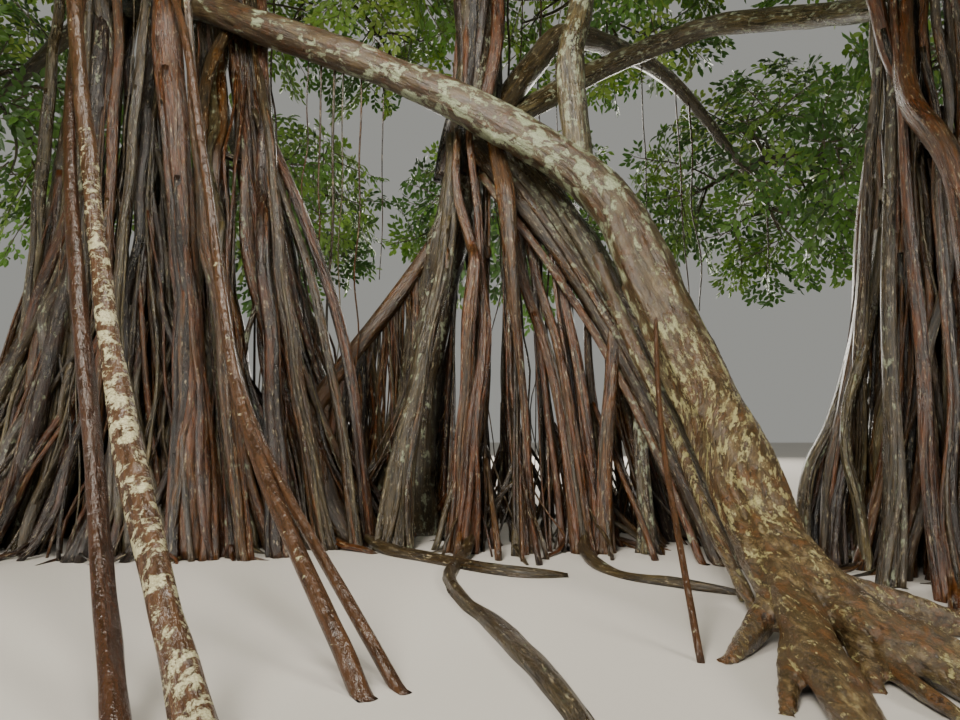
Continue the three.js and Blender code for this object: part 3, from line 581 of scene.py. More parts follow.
def new_object(name, verts, faces, material=None, smooth=True):
    """One mesh from arrays of places and of faces with equal numbers of corners"""
    mesh = bpy.data.meshes.new(name)
    faces = np.asarray(faces, np.int32)
    mesh.vertices.add(len(verts))
    mesh.vertices.foreach_set("co", np.asarray(verts, np.float32).ravel())
    mesh.loops.add(faces.size)
    mesh.loops.foreach_set("vertex_index", faces.ravel())
    mesh.polygons.add(len(faces))
    mesh.polygons.foreach_set("loop_start", np.arange(0, faces.size, faces.shape[1], dtype=np.int32))
    mesh.polygons.foreach_set("loop_total", np.full(len(faces), faces.shape[1], np.int32))
    mesh.polygons.foreach_set("use_smooth", np.full(len(faces), smooth))
    if material:
        mesh.materials.append(material)
    mesh.update(calc_edges=True)
    obj = bpy.data.objects.new(name, mesh)
    bpy.context.scene.collection.objects.link(obj)
    return obj


def add_attribute(obj, name, values):
    """One number or one vector for each vertex"""
    kind, field = ("FLOAT_VECTOR", "vector") if np.ndim(values) == 2 else ("FLOAT", "value")
    made = obj.data.attributes.new(name, kind, "POINT")
    made.data.foreach_set(field, np.asarray(values, np.float32).ravel())


def frames(points):
    """Tangents and two directions across a line that turn as little as possible along it"""
    tangent = unit(np.gradient(points, axis=0))
    across = np.zeros_like(points)
    side = np.array([1.0, 0, 0]) if abs(tangent[0][0]) < 0.8 else np.array([0, 1.0, 0])
    for i, t in enumerate(tangent):
        side = side - t * side.dot(t)
        side = side / np.linalg.norm(side)
        across[i] = side
    return tangent, across, np.cross(tangent, across)


class Bark:
    """Gathers limbs and roots into one mesh, with where each point lies on its own root"""

    def __init__(self, seed):
        self.rng = np.random.default_rng(seed)
        self.parts = []
        self.total = 0

    def tube(self, points, radii, sides, tone=0.5, lichen=0.3, rough=(0.1, 0.08)):
        """One limb or root as a closed tube, cut where it is in the ground. rough is its lobes and lumps"""
        points = np.asarray(points, float)
        radii = np.broadcast_to(np.asarray(radii, float), (len(points),))
        sunk = np.flatnonzero(points[:, 2] < -0.7 * radii)
        if len(sunk):
            end = max(3, sunk[0] + 1)
            points = points[:end]
            radii = radii[:end]
        _, across, other = frames(points)
        steps = np.linalg.norm(np.diff(points, axis=0), axis=1)
        s = np.concatenate([[0], np.cumsum(steps)])[:, None]
        turn = np.linspace(0, 2 * math.pi, sides, endpoint=False)
        shape, seed = self.outline(s, turn, *rough)
        ring = np.cos(turn)[None, :, None] * across[:, None] + np.sin(turn)[None, :, None] * other[:, None]
        verts = points[:, None] + ring * (radii[:, None] * shape)[..., None]
        self.store(verts, self.wrapped(radii[:, None], s, turn, seed), points, tone, lichen)

    def wrapped(self, reach, s, turn, start):
        """Places round and along a straight tube"""
        round_x = np.cos(turn) * reach + start[0]
        round_y = np.sin(turn) * reach + start[1]
        return np.stack(np.broadcast_arrays(round_x, round_y, s + start[2]), axis=-1)

    def outline(self, s, turn, lobes, lumps):
        """How far each place of the surface stands out, and where its grain starts"""
        rng = self.rng
        twist = rng.uniform(-0.5, 0.5) * s
        shape = 1 + lobes * rng.uniform(0.5, 1.2) * np.cos(2 * (turn + twist) + rng.uniform(0, ANY_TURN))
        shape = shape + 0.7 * lobes * np.cos(3 * (turn - 0.6 * twist) + rng.uniform(0, ANY_TURN))
        if len(turn) >= 14:
            many = rng.integers(5, 8) * (turn + 0.3 * twist)
            shape = shape + 0.4 * lobes * np.cos(many + rng.uniform(0, ANY_TURN))
        seed = rng.uniform(0, 500, 3)
        where = self.wrapped(1.1, s * 2.2, turn, seed)
        for places, share in ((where, 1), (where * [1.7, 1.7, 2.3] + 40, 0.55)):
            shape = shape + share * lumps * noise3(places.reshape(-1, 3)).reshape(shape.shape)
        return shape, seed

    def store(self, verts, grain, points, tone, lichen):
        """Keeps the faces round a tube and its two ends, all above the ground"""
        rows, sides = verts.shape[:2]
        places = np.vstack([verts.reshape(-1, 3), points[:1], points[-1:]])
        places[:, 2] = np.maximum(places[:, 2], 0)
        centres = np.vstack([grain[0].mean(0), grain[-1].mean(0)])
        index = np.arange(rows * sides).reshape(rows, sides)
        following = np.roll(index, -1, axis=1)
        quads = np.stack([index[:-1], following[:-1], following[1:], index[1:]], axis=-1).reshape(-1, 4)
        centre = np.full(sides, rows * sides)
        start = np.stack([following[0], index[0], centre], axis=-1)
        end = np.stack([index[-1], following[-1], centre + 1], axis=-1)
        faces = np.vstack([quads[:, :3], start, end, quads[:, [0, 2, 3]]]) + self.total
        looks = [self.per_vertex(values, rows, sides) for values in (tone, lichen)]
        self.parts.append((places, faces, np.vstack([grain.reshape(-1, 3), centres]), *looks))
        self.total += len(places)

    def per_vertex(self, value, rows, sides):
        """One value, or one for each place, as one for each vertex"""
        values = np.broadcast_to(value, (max(rows, np.size(value)),))[:rows]
        return np.concatenate([np.repeat(values, sides), values[:1], values[-1:]])

    def joined(self):
        """Vertices, faces, grain, tone and lichen of all tubes"""
        return [np.concatenate(column) for column in zip(*self.parts)]

    def build(self, name, material):
        verts, faces, *looks = self.joined()
        obj = new_object(name, verts, faces, material)
        for key, values in zip(("grain", "tone", "lichen"), looks):
            add_attribute(obj, key, values)
        return obj


# Clusters of roots

class Cluster:
    """Where the roots of one cluster run: its middle line and half widths at each height"""

    def __init__(self, rows):
        self.heights, *self.columns = Curve(rows).point(np.linspace(0, 1, 400)).T

    def places(self, z, angle, layer):
        x, y, wide, deep = (np.interp(z, self.heights, column) for column in self.columns)
        return np.stack([x + wide * layer * np.cos(angle), y + deep * layer * np.sin(angle), z], axis=1)


LIMB_LINE = Curve(GREAT_LIMB).at(np.linspace(0, 1, 60))


def behind_limb(points, radius):
    """Moves the high part of a root back, where the great limb passes in front of it"""
    limb_y = np.interp(points[:, 0], LIMB_LINE[:, 0], LIMB_LINE[:, 1])
    limb_z = np.interp(points[:, 0], LIMB_LINE[:, 0], LIMB_LINE[:, 2])
    inside = np.clip((points[:, 0] + 2.5) / 0.35, 0, 1) * np.clip((-0.2 - points[:, 0]) / 0.3, 0, 1)
    share = inside * np.clip((points[:, 2] - limb_z + 1.5) / 1.1, 0, 1)
    back = np.maximum(points[:, 1], limb_y + 0.2 + radius)
    points[:, 1] += (back - points[:, 1]) * share
    return points


def wavy(rng, z, size):
    """A gentle wander to both sides along a root"""
    total = np.zeros((len(z), 2))
    for _ in range(3):
        wave = rng.uniform(0.7, 3.2)
        total += rng.normal(0, 1, 2) * np.sin(2 * math.pi * z[:, None] / wave + rng.uniform(0, ANY_TURN, 2))
    return total * size


def root_radii(z, radius, flare):
    """Thinner at the head, with a foot that widens near the ground"""
    share = z / max(z.max(), 0.1)
    return radius * (1.08 - 0.3 * share) * (1 + flare * np.exp(-z / FLARE_HEIGHT))


def hang_root(bark, cluster, head, angle, layer, radius, spread=0.85, wander=None, flare=None,
              leaves_open=True, **look):
    """One root of a cluster, from its head down to the ground. angle and layer are (head, foot) pairs"""
    rng = bark.rng
    z = np.linspace(head, -0.03, max(8, int(head / (THICK_STEP if radius > 0.045 else THIN_STEP))))
    share = 1 - z / head
    turn = between(angle, np.clip(share, 0, 1) ** spread)
    points = cluster.places(z, turn, between(layer, share))
    sway = wavy(rng, z, 0.014 + 0.16 * radius if wander is None else wander)
    points[:, :2] += sway * np.minimum(1, 0.25 + share)[:, None]
    points = behind_limb(points, radius)
    if leaves_open and fills_opening(points, radius):
        return
    own_flare = rng.uniform(0, 6) * radius
    radii = root_radii(z, radius, own_flare if flare is None else flare)
    bark.tube(points, radii, sides_of(radius, ROOT_SIDES), **look)
    if layer[1] > 0.8 and radius > SPREADS_FROM:
        middle = cluster.places(np.zeros(1), np.zeros(1), 0)[0]
        spread_foot(bark, points[-1], unit((points[-1] - middle)[:2]), radii[-1], look["tone"])


def spread_foot(bark, foot, outwards, radius, tone):
    """Up to two small roots that run out over the ground from the foot of a root and sink into it"""
    rng = bark.rng
    for _ in range(rng.integers(0, 3)):
        turn = rng.normal(0, 0.75)
        way = np.array([
            math.cos(turn) * outwards[0] - math.sin(turn) * outwards[1],
            math.sin(turn) * outwards[0] + math.cos(turn) * outwards[1], 0])
        reach = 0.08 + 0.5 * rng.uniform() ** 2 + 1.5 * radius
        top = 0.03 + rng.uniform(0.3, 1.6) * radius
        bend = np.array([-way[1], way[0], 0]) * rng.normal(0, 0.1) * reach
        size = min(radius, 0.1) * rng.uniform(0.3, 0.55)
        ground = foot * [1, 1, 0]
        places = [
            ground + [0, 0, top],
            ground + way * 0.32 * reach + bend + [0, 0, 0.32 * top],
            ground + way * 0.68 * reach + [0, 0, 0.2 * size],
            ground + way * reach - bend - [0, 0, 1.2 * size],
        ]
        points = along(Curve(places), 0.03)
        radii = table_at(np.linspace(0, 1, len(points)), ((0, size), (0.5, 0.85 * size), (1, 0.7 * size)))
        bark.tube(points, radii, 7, tone=np.clip(tone + rng.normal(0, 0.08), 0, 1), rough=(0.1, 0.2))


def root_tone(rng):
    """Rust red, brown or grey for one root"""
    picked = rng.choice([0.12, 0.3, 0.44, 0.58, 0.72, 0.86], p=[0.16, 0.2, 0.2, 0.18, 0.16, 0.1])
    return np.clip(picked + rng.normal(0, 0.05), 0, 1)


def fill_cluster(name, rows, plan):
    """Thick roots from the head to the ground, roots that fork from them, and thin ones round the outside"""
    cluster = Cluster(rows)
    thick, strands, thin = (Bark(seed) for seed in SEEDS[name])
    rng = thick.rng
    top = plan["top"]
    mains = add_mains(thick, cluster, plan)
    # Roots inside the cluster get the darkest tones, near black: painted shade of the cluster's inside
    for k in range(plan["inner"]):
        angle = rng.uniform(0, 2 * math.pi)
        layer = rng.uniform(0.3, 0.76)
        head = top if k % 7 == 0 else top * rng.uniform(0.3, 0.56)
        radius = rng.uniform(*plan["inner_radius"])
        hang_root(thick, cluster, head, (angle, angle), (layer * 0.8, layer), radius,
                  tone=rng.uniform(0, 0.22), lichen=0.05, rough=(0.16, 0.12))
    for _ in range(plan["forks"]):
        bunch, angle, layer, radius = mains[rng.integers(len(mains))]
        head = top * (0.2 + 0.7 * rng.uniform() ** 1.25)
        leaves_at = between((bunch, angle), (1 - head / top) ** MAIN_SPREAD)
        drift = rng.normal(0, 0.26)
        own = min(radius * 0.8, 0.012 + 0.05 * rng.uniform() ** 2)
        hang_root(strands, cluster, head, (leaves_at, angle + drift), (layer, rng.uniform(0.7, 1.06)), own,
                  tone=root_tone(rng), lichen=rng.uniform(0, 0.7), rough=FORKED)
    for _ in range(plan["thin"]):
        angle = rng.uniform(0, 2 * math.pi)
        head = top * (0.25 + 0.7 * rng.uniform() ** 1.2)
        drift = rng.normal(0, 0.3)
        layer = rng.uniform(0.75, 1.04)
        hang_root(thin, cluster, head, (angle, angle + drift), (layer, layer * rng.uniform(0.9, 1.08)),
                  rng.uniform(0.006, 0.016), tone=root_tone(rng), lichen=rng.uniform(0, 0.3),
                  rough=SMOOTH, wander=0.02, flare=0)
    return thick, strands, thin


def add_mains(bark, cluster, plan):
    """Thick roots that leave the head in bunches of three. Gives each one's bunch, angle, layer and radius"""
    rng = bark.rng
    count = plan["mains"]
    mains = []
    for k in range(count):
        angle = 2 * math.pi * (k + rng.uniform(0, 0.7)) / count
        bunch = 2 * math.pi * (k // 3 + 0.5) / (count // 3) + rng.normal(0, 0.05)
        layer = rng.uniform(0.86, 1.0)
        radius = rng.uniform(*plan["main_radius"])
        mains.append((bunch, angle, layer, radius))
        hang_root(bark, cluster, plan["top"], (bunch, angle), (0.92 * layer, layer), radius,
                  spread=MAIN_SPREAD, leaves_open=False, tone=root_tone(rng), lichen=rng.uniform(0.1, 0.8),
                  rough=(0.16, 0.13))
    return mains


def feature_line(pixels, distance, carrier):
    """The line of a root by its pixels from head to foot, with its head on the carrier if it has one"""
    on_ground = pixels[-1][1] > FEET_BELOW_ROW
    last = ground_distance(pixels[-1][1]) if on_ground else distance - 0.5
    if carrier is not None:
        head = place_on(carrier, pixels[0][0])
        distance = head[1] - CAMERA_AT[1]
    distances = distance + (last - distance) * np.linspace(0, 1, len(pixels))
    places = [spot(u, v, d) for (u, v), d in zip(pixels, distances)]
    if carrier is not None:
        places[0] = list(head)
    if on_ground:
        places.append([places[-1][0], places[-1][1] - 0.03, -0.06])
    return along(Curve(places), 0.07)


def add_features(bark, features, carrier=None):
    """Roots that the photograph shows clearly, with thinner ones that cling to them"""
    for pixels, distance, widths, tone, lichen in features:
        carried = pixels[0][0] > CARRIED_FROM_COLUMN
        points = feature_line(pixels, distance, carrier if carried else None)
        radii = np.interp(np.linspace(0, 1, len(points)), np.linspace(0, 1, len(widths)), widths) * 0.85
        points[:, :2] += wavy(bark.rng, points[:, 2], 0.006)
        bark.tube(points, radii, 18 if max(widths) > 0.07 else 12, tone, lichen, KNOTTY)
        for _ in range(int(max(widths) * 60)):
            hug_root(bark, points, radii, tone, lichen)


def hug_root(bark, points, radii, tone, lichen):
    """A thinner root that clings to a thick one, from part way down it to the ground"""
    rng = bark.rng
    first = rng.integers(0, max(1, int(0.6 * len(points))))
    path = points[first:]
    rim = radii[first:]
    if len(path) < 6:
        return
    share = np.linspace(0, 1, len(path))
    turn = rng.uniform(-2.9, -0.2) + rng.normal(0, 0.9) * share + 0.3 * np.sin(share * 9 + rng.uniform(0, 6))
    own_tone = np.clip(tone + rng.normal(0, 0.15), 0, 1)
    own_radii = rng.uniform(0.2, 0.42) * np.minimum(rim, 0.09) + 0.004
    bark.tube(ringed(path, turn, rim * (0.75 + 0.5 * share ** 2)), own_radii, 8, own_tone, lichen, KNOTTY)


# Limb lines that foliage keeps clear of, as in the solids

limb_lines = []


def remember(curve, radius, pieces):
    for i in range(pieces):
        a = i / pieces
        b = (i + 1) / pieces
        limb_lines.append((curve.at(a)[0], curve.at(b)[0], max(radius(a), radius(b))))


def remember_trunks():
    remember(Curve(LEFT_HEAD), lambda s: between((LEFT_TENT["top_radius"], LEFT_HEAD_TIP), s), 2)
    for tent in (LEFT_TENT, MAIN_TENT, RIGHT_TENT):
        remember(core_curve(tent), core_radius(tent), 6)
    remember(Curve(GREAT_LIMB), limb_radius, 12)
    stem = Curve(MAIN_STEM)
    remember(stem, lambda s: main_stem_radius(s, stem.length), 8)
    remember(Curve(SLANT_STEM), lambda s: between(SLANT_RADII, s), 5)
    remember(Curve(LIMB_BRANCH), lambda s: between(BRANCH_RADII, s), 6)
    remember(Curve(BRIDGE), lambda s: BRIDGE_RADIUS, 6)


def core_curve(tent):
    foot = np.array(tent["foot"], float)
    top = np.array(tent["top"], float)
    return Curve([foot - [0, 0, BELOW], foot + (top - foot) * CORE_WAIST, top])


def core_radius(tent):
    return lambda share: max(between((reach, tent["top_radius"]), share) for reach in tent["core"])


def main_stem_radius(share, length):
    height = share * length - BELOW
    low = 1 - min(1, max(0, height) / 1.5)
    high = max(0, height - 5.2) / (length - BELOW - 5.2)
    return 0.29 + 0.19 * low ** 1.6 - 0.1 * high


def limb_radius(share):
    return np.interp(share, np.linspace(0, 1, len(GREAT_LIMB_WIDTHS)), GREAT_LIMB_WIDTHS)


# Crown

def crown_masses():
    """Where the foliage masses are, each with the space that it has between the others"""
    masses = []
    for tier in TIERS:
        for k in range(tier["count"]):
            angle = 2 * math.pi * (k + tier["turn"]) / tier["count"]
            centre = np.array([
                CROWN_CENTRE[0] + tier["reach"][0] * math.cos(angle),
                CROWN_CENTRE[1] + tier["reach"][1] * math.sin(angle),
                tier["height"] - tier["droop"] * 0.5 * (1 + math.sin(angle)),
            ])
            radii = np.array([tier["wide"], tier["wide"], tier["tall"]])
            masses.append({"name": f"{tier['name']}_{k + 1}", "tier": tier, "centre": centre, "radii": radii})
    for mass in masses:
        gaps = np.array([other["centre"] - mass["centre"] for other in masses if other is not mass])
        lengths = np.linalg.norm(gaps, axis=1)
        mass["toward"] = gaps / lengths[:, None]
        mass["reach_to"] = lengths / 2 - CELL_GAP
    return masses


def bough_curve(mass):
    """The bough that carries a mass, from the nearest head of a trunk or limb"""
    centre = mass["centre"]
    heads = [(np.array(low), np.array(high)) for low, high in HEADS]
    low, high = min(heads, key=lambda head: np.linalg.norm((head[1] - centre)[:2]))
    start = low + (high - low) * mass["tier"]["leaves"]
    points = [np.array(p) for p in BOUGH_WAYS.get(mass["name"], [start])]
    last = points[-1]
    end = centre + unit(last - centre) * ENTRY * mass["radii"][2]
    middle = (last + end) / 2
    middle[2] += BOUGH_RISE * np.linalg.norm(last - end)
    return Curve(points + [middle, end])


def in_space(place, mass):
    offset = place - mass["centre"]
    if np.linalg.norm(offset / mass["radii"]) > 1:
        return False
    return bool(np.all(mass["toward"] @ offset < mass["reach_to"]))


def way_out(sine, turn):
    """A direction by the sine of its slope and its turn round the upright"""
    level = math.sqrt(1 - sine * sine)
    return np.array([level * math.cos(turn), level * math.sin(turn), sine])


class Growth:
    """Grows the crown's limbs, finest twigs and leaves, clear of the limbs below"""

    def __init__(self, seed, limbs):
        self.rng = np.random.default_rng(seed)
        self.limbs = limbs
        self.twigs = []
        self.leaves = []
        starts, ends, self.radius = (np.array(column) for column in zip(*limb_lines))
        self.starts = starts
        self.ways = ends - starts

    def clear_of_limbs(self, start, end, half_width):
        """Whether a twig or spray keeps its gap from every remembered line"""
        shares = np.arange(CLEAR_SAMPLES + 1)[:, None] / CLEAR_SAMPLES
        places = start + (end - start) * shares
        offset = places[:, None] - self.starts[None]
        share = np.clip((offset * self.ways).sum(2) / (self.ways ** 2).sum(1), 0, 1)
        distance = np.linalg.norm(offset - share[..., None] * self.ways, axis=2)
        return bool(np.all(distance >= self.radius + half_width + LEAF_GAP))

    def fitted_tip(self, mass, start, direction, length, width, face):
        """The tip of the longest spray that fits in its mass's space, and its share of the full size"""
        for share in SPRAY_FITS:
            half = share * width / 2
            tip = start + direction * length * share
            widest = start + (tip - start) * SPRAY_WIDEST
            side = unit(np.cross(face, direction)) * half
            corners = (tip, widest + side, widest - side)
            if all(in_space(corner, mass) for corner in corners) and self.clear_of_limbs(start, tip, half):
                return tip, share
        return None

    def pick_tint(self, place):
        """Which green a spray has: brighter and yellower towards the crown's top"""
        score = 0.45 * (place[2] - 3.5) / 8 + self.rng.uniform(0, 0.75)
        return int(np.clip(score * len(LEAF_GREENS), 0, len(LEAF_GREENS) - 1))

    def spray(self, base, tip, face, width, tint):
        """One twig with side twigs in a plane, and leaves along them"""
        rng = self.rng
        reach = tip - base
        length = np.linalg.norm(reach)
        a = reach / length
        side = unit(np.cross(face, a))
        up = np.cross(a, side)
        sag = np.array([0, 0, -0.05 * length])
        bow = side * rng.normal(0, 0.05) * length
        knots = np.linspace(0, 1, 5)[:, None]
        axis = base + reach * knots + sag * knots ** 2 + bow * np.sin(math.pi * knots)
        thick = np.linspace(*SPRAY_RADII, len(knots))[:, None]
        self.twigs.append(np.hstack([axis[:-1], axis[1:], thick[:-1], thick[1:]]))
        count = max(4, int(length / SIDE_STEP))
        t = (np.arange(count) + 0.5 + rng.uniform(-0.25, 0.25, count)) / count
        t = np.clip(t, 0.06, 0.98)[:, None]
        sign = np.where(np.arange(count) % 2, 1.0, -1.0)[:, None]
        root = base + reach * t + sag * t ** 2 + bow * np.sin(math.pi * t)
        out = 0.5 * width * np.sin(math.pi * t ** 0.8) ** 0.6 * rng.uniform(0.8, 1.15, (count, 1))
        out = np.maximum(out, 0.1)
        ahead, aside = SIDE_LEAN
        way = unit(ahead * a + aside * sign * side + rng.normal(0, 0.22, (count, 1)) * up)
        ends = root + way * out / aside + np.array([0, 0, -0.04]) * out
        self.twigs.append(np.hstack([root, ends, np.tile(SIDE_RADII, (count, 1))]))
        self.leaves_along(root, ends, way, up, tint)
        self.leaves_along(axis[-2:-1], axis[-1:], a[None], up, tint)

    def leaves_along(self, root, ends, way, up, tint):
        """Leaves on both sides of twigs: place, heading, normal, size and green of each"""
        rng = self.rng
        lengths = np.linalg.norm(ends - root, axis=1)
        counts = np.maximum(2, (lengths / LEAF_STEP).astype(int) + 1)
        which = np.repeat(np.arange(len(root)), counts)
        order = np.concatenate([np.arange(n) for n in counts])
        number = len(order)
        share = (order + 0.6) / counts[which]
        base = root[which] + (ends - root)[which] * np.minimum(share, 1)[:, None]
        direction = way[which]
        sign = np.where(order % 2, 1.0, -1.0)
        at_tip = order == counts[which] - 1
        lean = np.where(at_tip, rng.normal(0, 0.2, number), sign * rng.uniform(0.6, 1.1, number))
        heading = direction + np.cross(up, direction) * lean[:, None] + rng.normal(0, 0.16, base.shape)
        heading[:, 2] -= LEAF_DROOP
        normal = up + rng.normal(0, 0.34, base.shape)
        normal[:, 2] += LEAF_LIFT
        size = LEAF_LENGTH * rng.uniform(0.75, 1.15, number)
        self.leaves.append(np.hstack([base, heading, normal, size[:, None], np.full((number, 1), tint)]))

    def grow_mass(self, mass, bough, seed):
        """The solids' twigs in a mass, by the same numbers, and finer ones between them"""
        random = seeded(seed)
        tangent = bough.tangent(1)[0]
        base = bough.at(1)[0] + tangent * GAP
        top = mass["centre"] + np.array([0, 0, STEM_TOP * mass["radii"][2]])
        places = [base, base + tangent * STEM_CROOK, top]
        stem = Curve(places)
        self.limbs.tube(along(Curve([bough.at(0.97)[0], *places]), 0.15), STEM_RADIUS, 8, 0.75, 0.4)
        phase = 2 * math.pi * random()
        primaries = []
        for k in range(TWIGS):
            sine = between((1, LOWEST_TWIG), (k + FIRST_TWIG) / TWIGS)
            outwards = way_out(sine, phase + k * GOLDEN_ANGLE)
            start = stem.at(between(FORKS, k / TWIGS))[0]
            to = mass["centre"] + outwards * mass["radii"] * TWIG_REACH
            lengths = [SPRAY_LENGTH * between(SPRAY_LENGTHS, random()) for _ in range(SPRAYS)]
            fan = 2 * math.pi * random()
            bare = start + (to - start) * BARE_TWIG
            if in_space(to, mass) and self.clear_of_limbs(bare, to, TWIG_RADIUS):
                primaries.append((start, to, outwards))
                self.grow_twig(mass, primaries[-1], lengths, SPRAY_WIDTH, fan, (TWIG_RADIUS, TWIG_TIP * 0.6))
        self.grow_finer(mass, stem, primaries, phase)

    def grow_twig(self, mass, line, lengths, width, fan, radii):
        """One twig of a mass and the sprays that fan out from it"""
        start, to, outwards = line
        rng = self.rng
        sideways = unit(np.array([-outwards[1], outwards[0], 0]) + 1e-9)
        upwards = np.cross(outwards, sideways)
        middle = (start + to) / 2 + rng.normal(0, 0.06, 3) + np.array([0, 0, 0.05])
        points = along(Curve([start, middle, to]), 0.2)
        radii = np.linspace(*radii, len(points))
        self.limbs.tube(points, radii, 6, tone=rng.uniform(0.6, 0.9), rough=(0.05, 0.08))
        for j, length in enumerate(lengths):
            angle = fan + 2 * math.pi * j / len(lengths)
            direction = unit(sideways * math.cos(angle) + upwards * math.sin(angle) + outwards * SPRAY_LIFT)
            place = start + (to - start) * (LAST_SPRAY - SPRAY_STEP * j)
            fitted = self.fitted_tip(mass, place, direction, length, width, outwards)
            if fitted:
                tip, share = fitted
                self.spray(place, tip, outwards, width * share, self.pick_tint(tip))

    def grow_finer(self, mass, stem, primaries, phase):
        """The same rule carried on: more and finer twigs between the first ones"""
        rng = self.rng
        for k in range(FINE_TWIGS):
            sine = between((1, LOWEST_TWIG), (k + 0.5) / FINE_TWIGS)
            outwards = way_out(sine, phase + 1 + k * GOLDEN_ANGLE)
            to = mass["centre"] + outwards * mass["radii"] * rng.uniform(*FINE_REACH)
            lengths = [FINE_LENGTH * rng.uniform(0.75, 1.2) for _ in range(FINE_SPRAYS)]
            fan = rng.uniform(0, ANY_TURN)
            if not in_space(to, mass):
                continue
            near = [p for p in primaries if p[2].dot(outwards) > 0.5]
            if near:
                nearest = max(near, key=lambda p: p[2].dot(outwards))
                start = nearest[0] + (nearest[1] - nearest[0]) * rng.uniform(0.35, 0.75)
            else:
                start = stem.at(rng.uniform(0.5, 0.98))[0]
            if not self.clear_of_limbs(start + (to - start) * 0.5, to, FINE_GAP):
                continue
            self.grow_twig(mass, (start, to, outwards), lengths, FINE_WIDTH, fan, FINE_RADII)
            face = unit(np.cross(outwards, [0.3, 0.5, 0.8]))
            fitted = self.fitted_tip(mass, to, outwards, 0.6, 0.4, face)
            if fitted:
                self.spray(to, fitted[0], face, 0.45, self.pick_tint(to))

    def build_leaves(self):
        """One piece of separate leaves for each green"""
        rows = np.vstack(self.leaves)
        pieces = []
        for index, green in enumerate(LEAF_GREENS):
            name = f"leaf_{index + 1}"
            material = plain_material(name, green, 0.42, {"Coat Weight": 0.08, "Coat Roughness": 0.25})
            own = rows[rows[:, 10] == index]
            a = unit(own[:, 3:6])
            side = unit(np.cross(own[:, 6:9], a))
            up = np.cross(a, side)
            size = own[:, 9][:, None, None]
            length, width, height = (LEAF_SHAPE[None, :, k:k + 1] for k in range(3))
            width = width * LEAF_WIDTH / LEAF_HALF / 2
            shape = length * a[:, None] + width * side[:, None] + height * up[:, None]
            verts = own[:, None, :3] + size * shape
            faces = LEAF_FACES[None] + len(LEAF_SHAPE) * np.arange(len(own))[:, None, None]
            name = f"leaves_{index + 1}"
            pieces.append(new_object(name, verts.reshape(-1, 3), faces.reshape(-1, 3), material))
        return pieces

    def build_twigs(self, material):
        """The finest twigs as three-sided rods, in pieces"""
        rows = np.vstack(self.twigs)
        a = rows[:, :3]
        b = rows[:, 3:6]
        tangent = unit(b - a)
        side = unit(np.cross(tangent, np.array([0.31, 0.22, 0.92])))
        other = np.cross(tangent, side)
        turn = np.arange(3) * 2 * math.pi / 3
        ring = np.cos(turn)[None, :, None] * side[:, None] + np.sin(turn)[None, :, None] * other[:, None]
        low = a[:, None] + ring * rows[:, 6, None, None]
        high = b[:, None] + ring * rows[:, 7, None, None]
        verts = np.concatenate([low, high], axis=1)
        pieces = []
        for k in range(0, len(rows), TWIGS_IN_PIECE):
            part = verts[k:k + TWIGS_IN_PIECE]
            faces = TWIG_FACES[None] + 6 * np.arange(len(part))[:, None, None]
            name = f"twigs_{len(pieces) + 1}"
            pieces.append(new_object(name, part.reshape(-1, 3), faces.reshape(-1, 3), material))
        return pieces


# Materials

class Paint:
    """Builds the nodes of one material"""

    def __init__(self, name):
        self.material = bpy.data.materials.new(name)
        self.material.use_nodes = True
        self.tree = self.material.node_tree

    def feed(self, socket, value):
        """Links a socket or sets its value"""
        if isinstance(value, bpy.types.NodeSocket):
            self.tree.links.new(value, socket)
        else:
            socket.default_value = value

    def surface(self, values):
        """Links or sets inputs of the surface by their names"""
        inputs = self.tree.nodes["Principled BSDF"].inputs
        for name, value in values.items():
            self.feed(inputs[name], value)

    def node(self, kind, feeds, output=0, **settings):
        """One node with its inputs and settings. Gives one of its outputs"""
        made = self.tree.nodes.new("ShaderNode" + kind)
        for key, value in settings.items():
            setattr(made, key, value)
        for key, value in feeds.items():
            self.feed(made.inputs[key], value)
        return made.outputs[output]

    def maths(self, operation, a, b, c=0.5, clamp=False):
        return self.node("Math", {0: a, 1: b, 2: c}, operation=operation, use_clamp=clamp)

    def blend(self, factor, a, b, mode="MIX"):
        return self.node("Mix", {"Factor": factor, 6: a, 7: b}, 2, data_type="RGBA", blend_type=mode)

    def multiplied(self, share, a, b):
        return self.blend(share, a, b, "MULTIPLY")

    def step_up(self, value, low, high):
        """0 below low, 1 above high"""
        return self.node("MapRange", {"Value": value, "From Min": low, "From Max": high}, clamp=True)

    def above(self, value, level, steepness):
        """0 below a level, then rising to 1"""
        return self.maths("MULTIPLY", self.maths("SUBTRACT", value, level), steepness, clamp=True)

    def less_where(self, level, name, share):
        """A level, lower where an attribute is high"""
        return self.maths("SUBTRACT", level, self.maths("MULTIPLY", self.attribute(name), share))

    def scaled(self, vector, *factors):
        return self.node("VectorMath", {0: vector, 1: factors}, operation="MULTIPLY")

    def noise(self, vector, scale, detail, rough, distortion=0.0):
        return self.node("TexNoise", {
            "Vector": vector, "Scale": scale, "Detail": detail, "Roughness": rough, "Distortion": distortion})

    def attribute(self, name, output="Fac"):
        return self.node("Attribute", {}, output, attribute_name=name)

    def ramp(self, factor, stops):
        """Colours by places from 0 to 1"""
        made = self.tree.nodes.new("ShaderNodeValToRGB")
        elements = made.color_ramp.elements
        while len(elements) < len(stops):
            elements.new(0.5)
        for element, (place, colour) in zip(elements, stops):
            element.position = place
            element.color = (*colour, 1)
        self.feed(made.inputs[0], factor)
        return made.outputs[0]

    def relief(self, *layers):
        """Bumps laid over one another: height, distance and strength of each"""
        normal = None
        for height, distance, strength in layers:
            feeds = {"Strength": strength, "Distance": distance, "Height": height}
            if normal:
                feeds["Normal"] = normal
            normal = self.node("Bump", feeds)
        return normal


def plain_material(name, colour, roughness, more=None):
    """One colour all over"""
    paint = Paint(name)
    paint.surface({"Base Color": (*colour, 1), "Roughness": roughness, **(more or {})})
    return paint.material


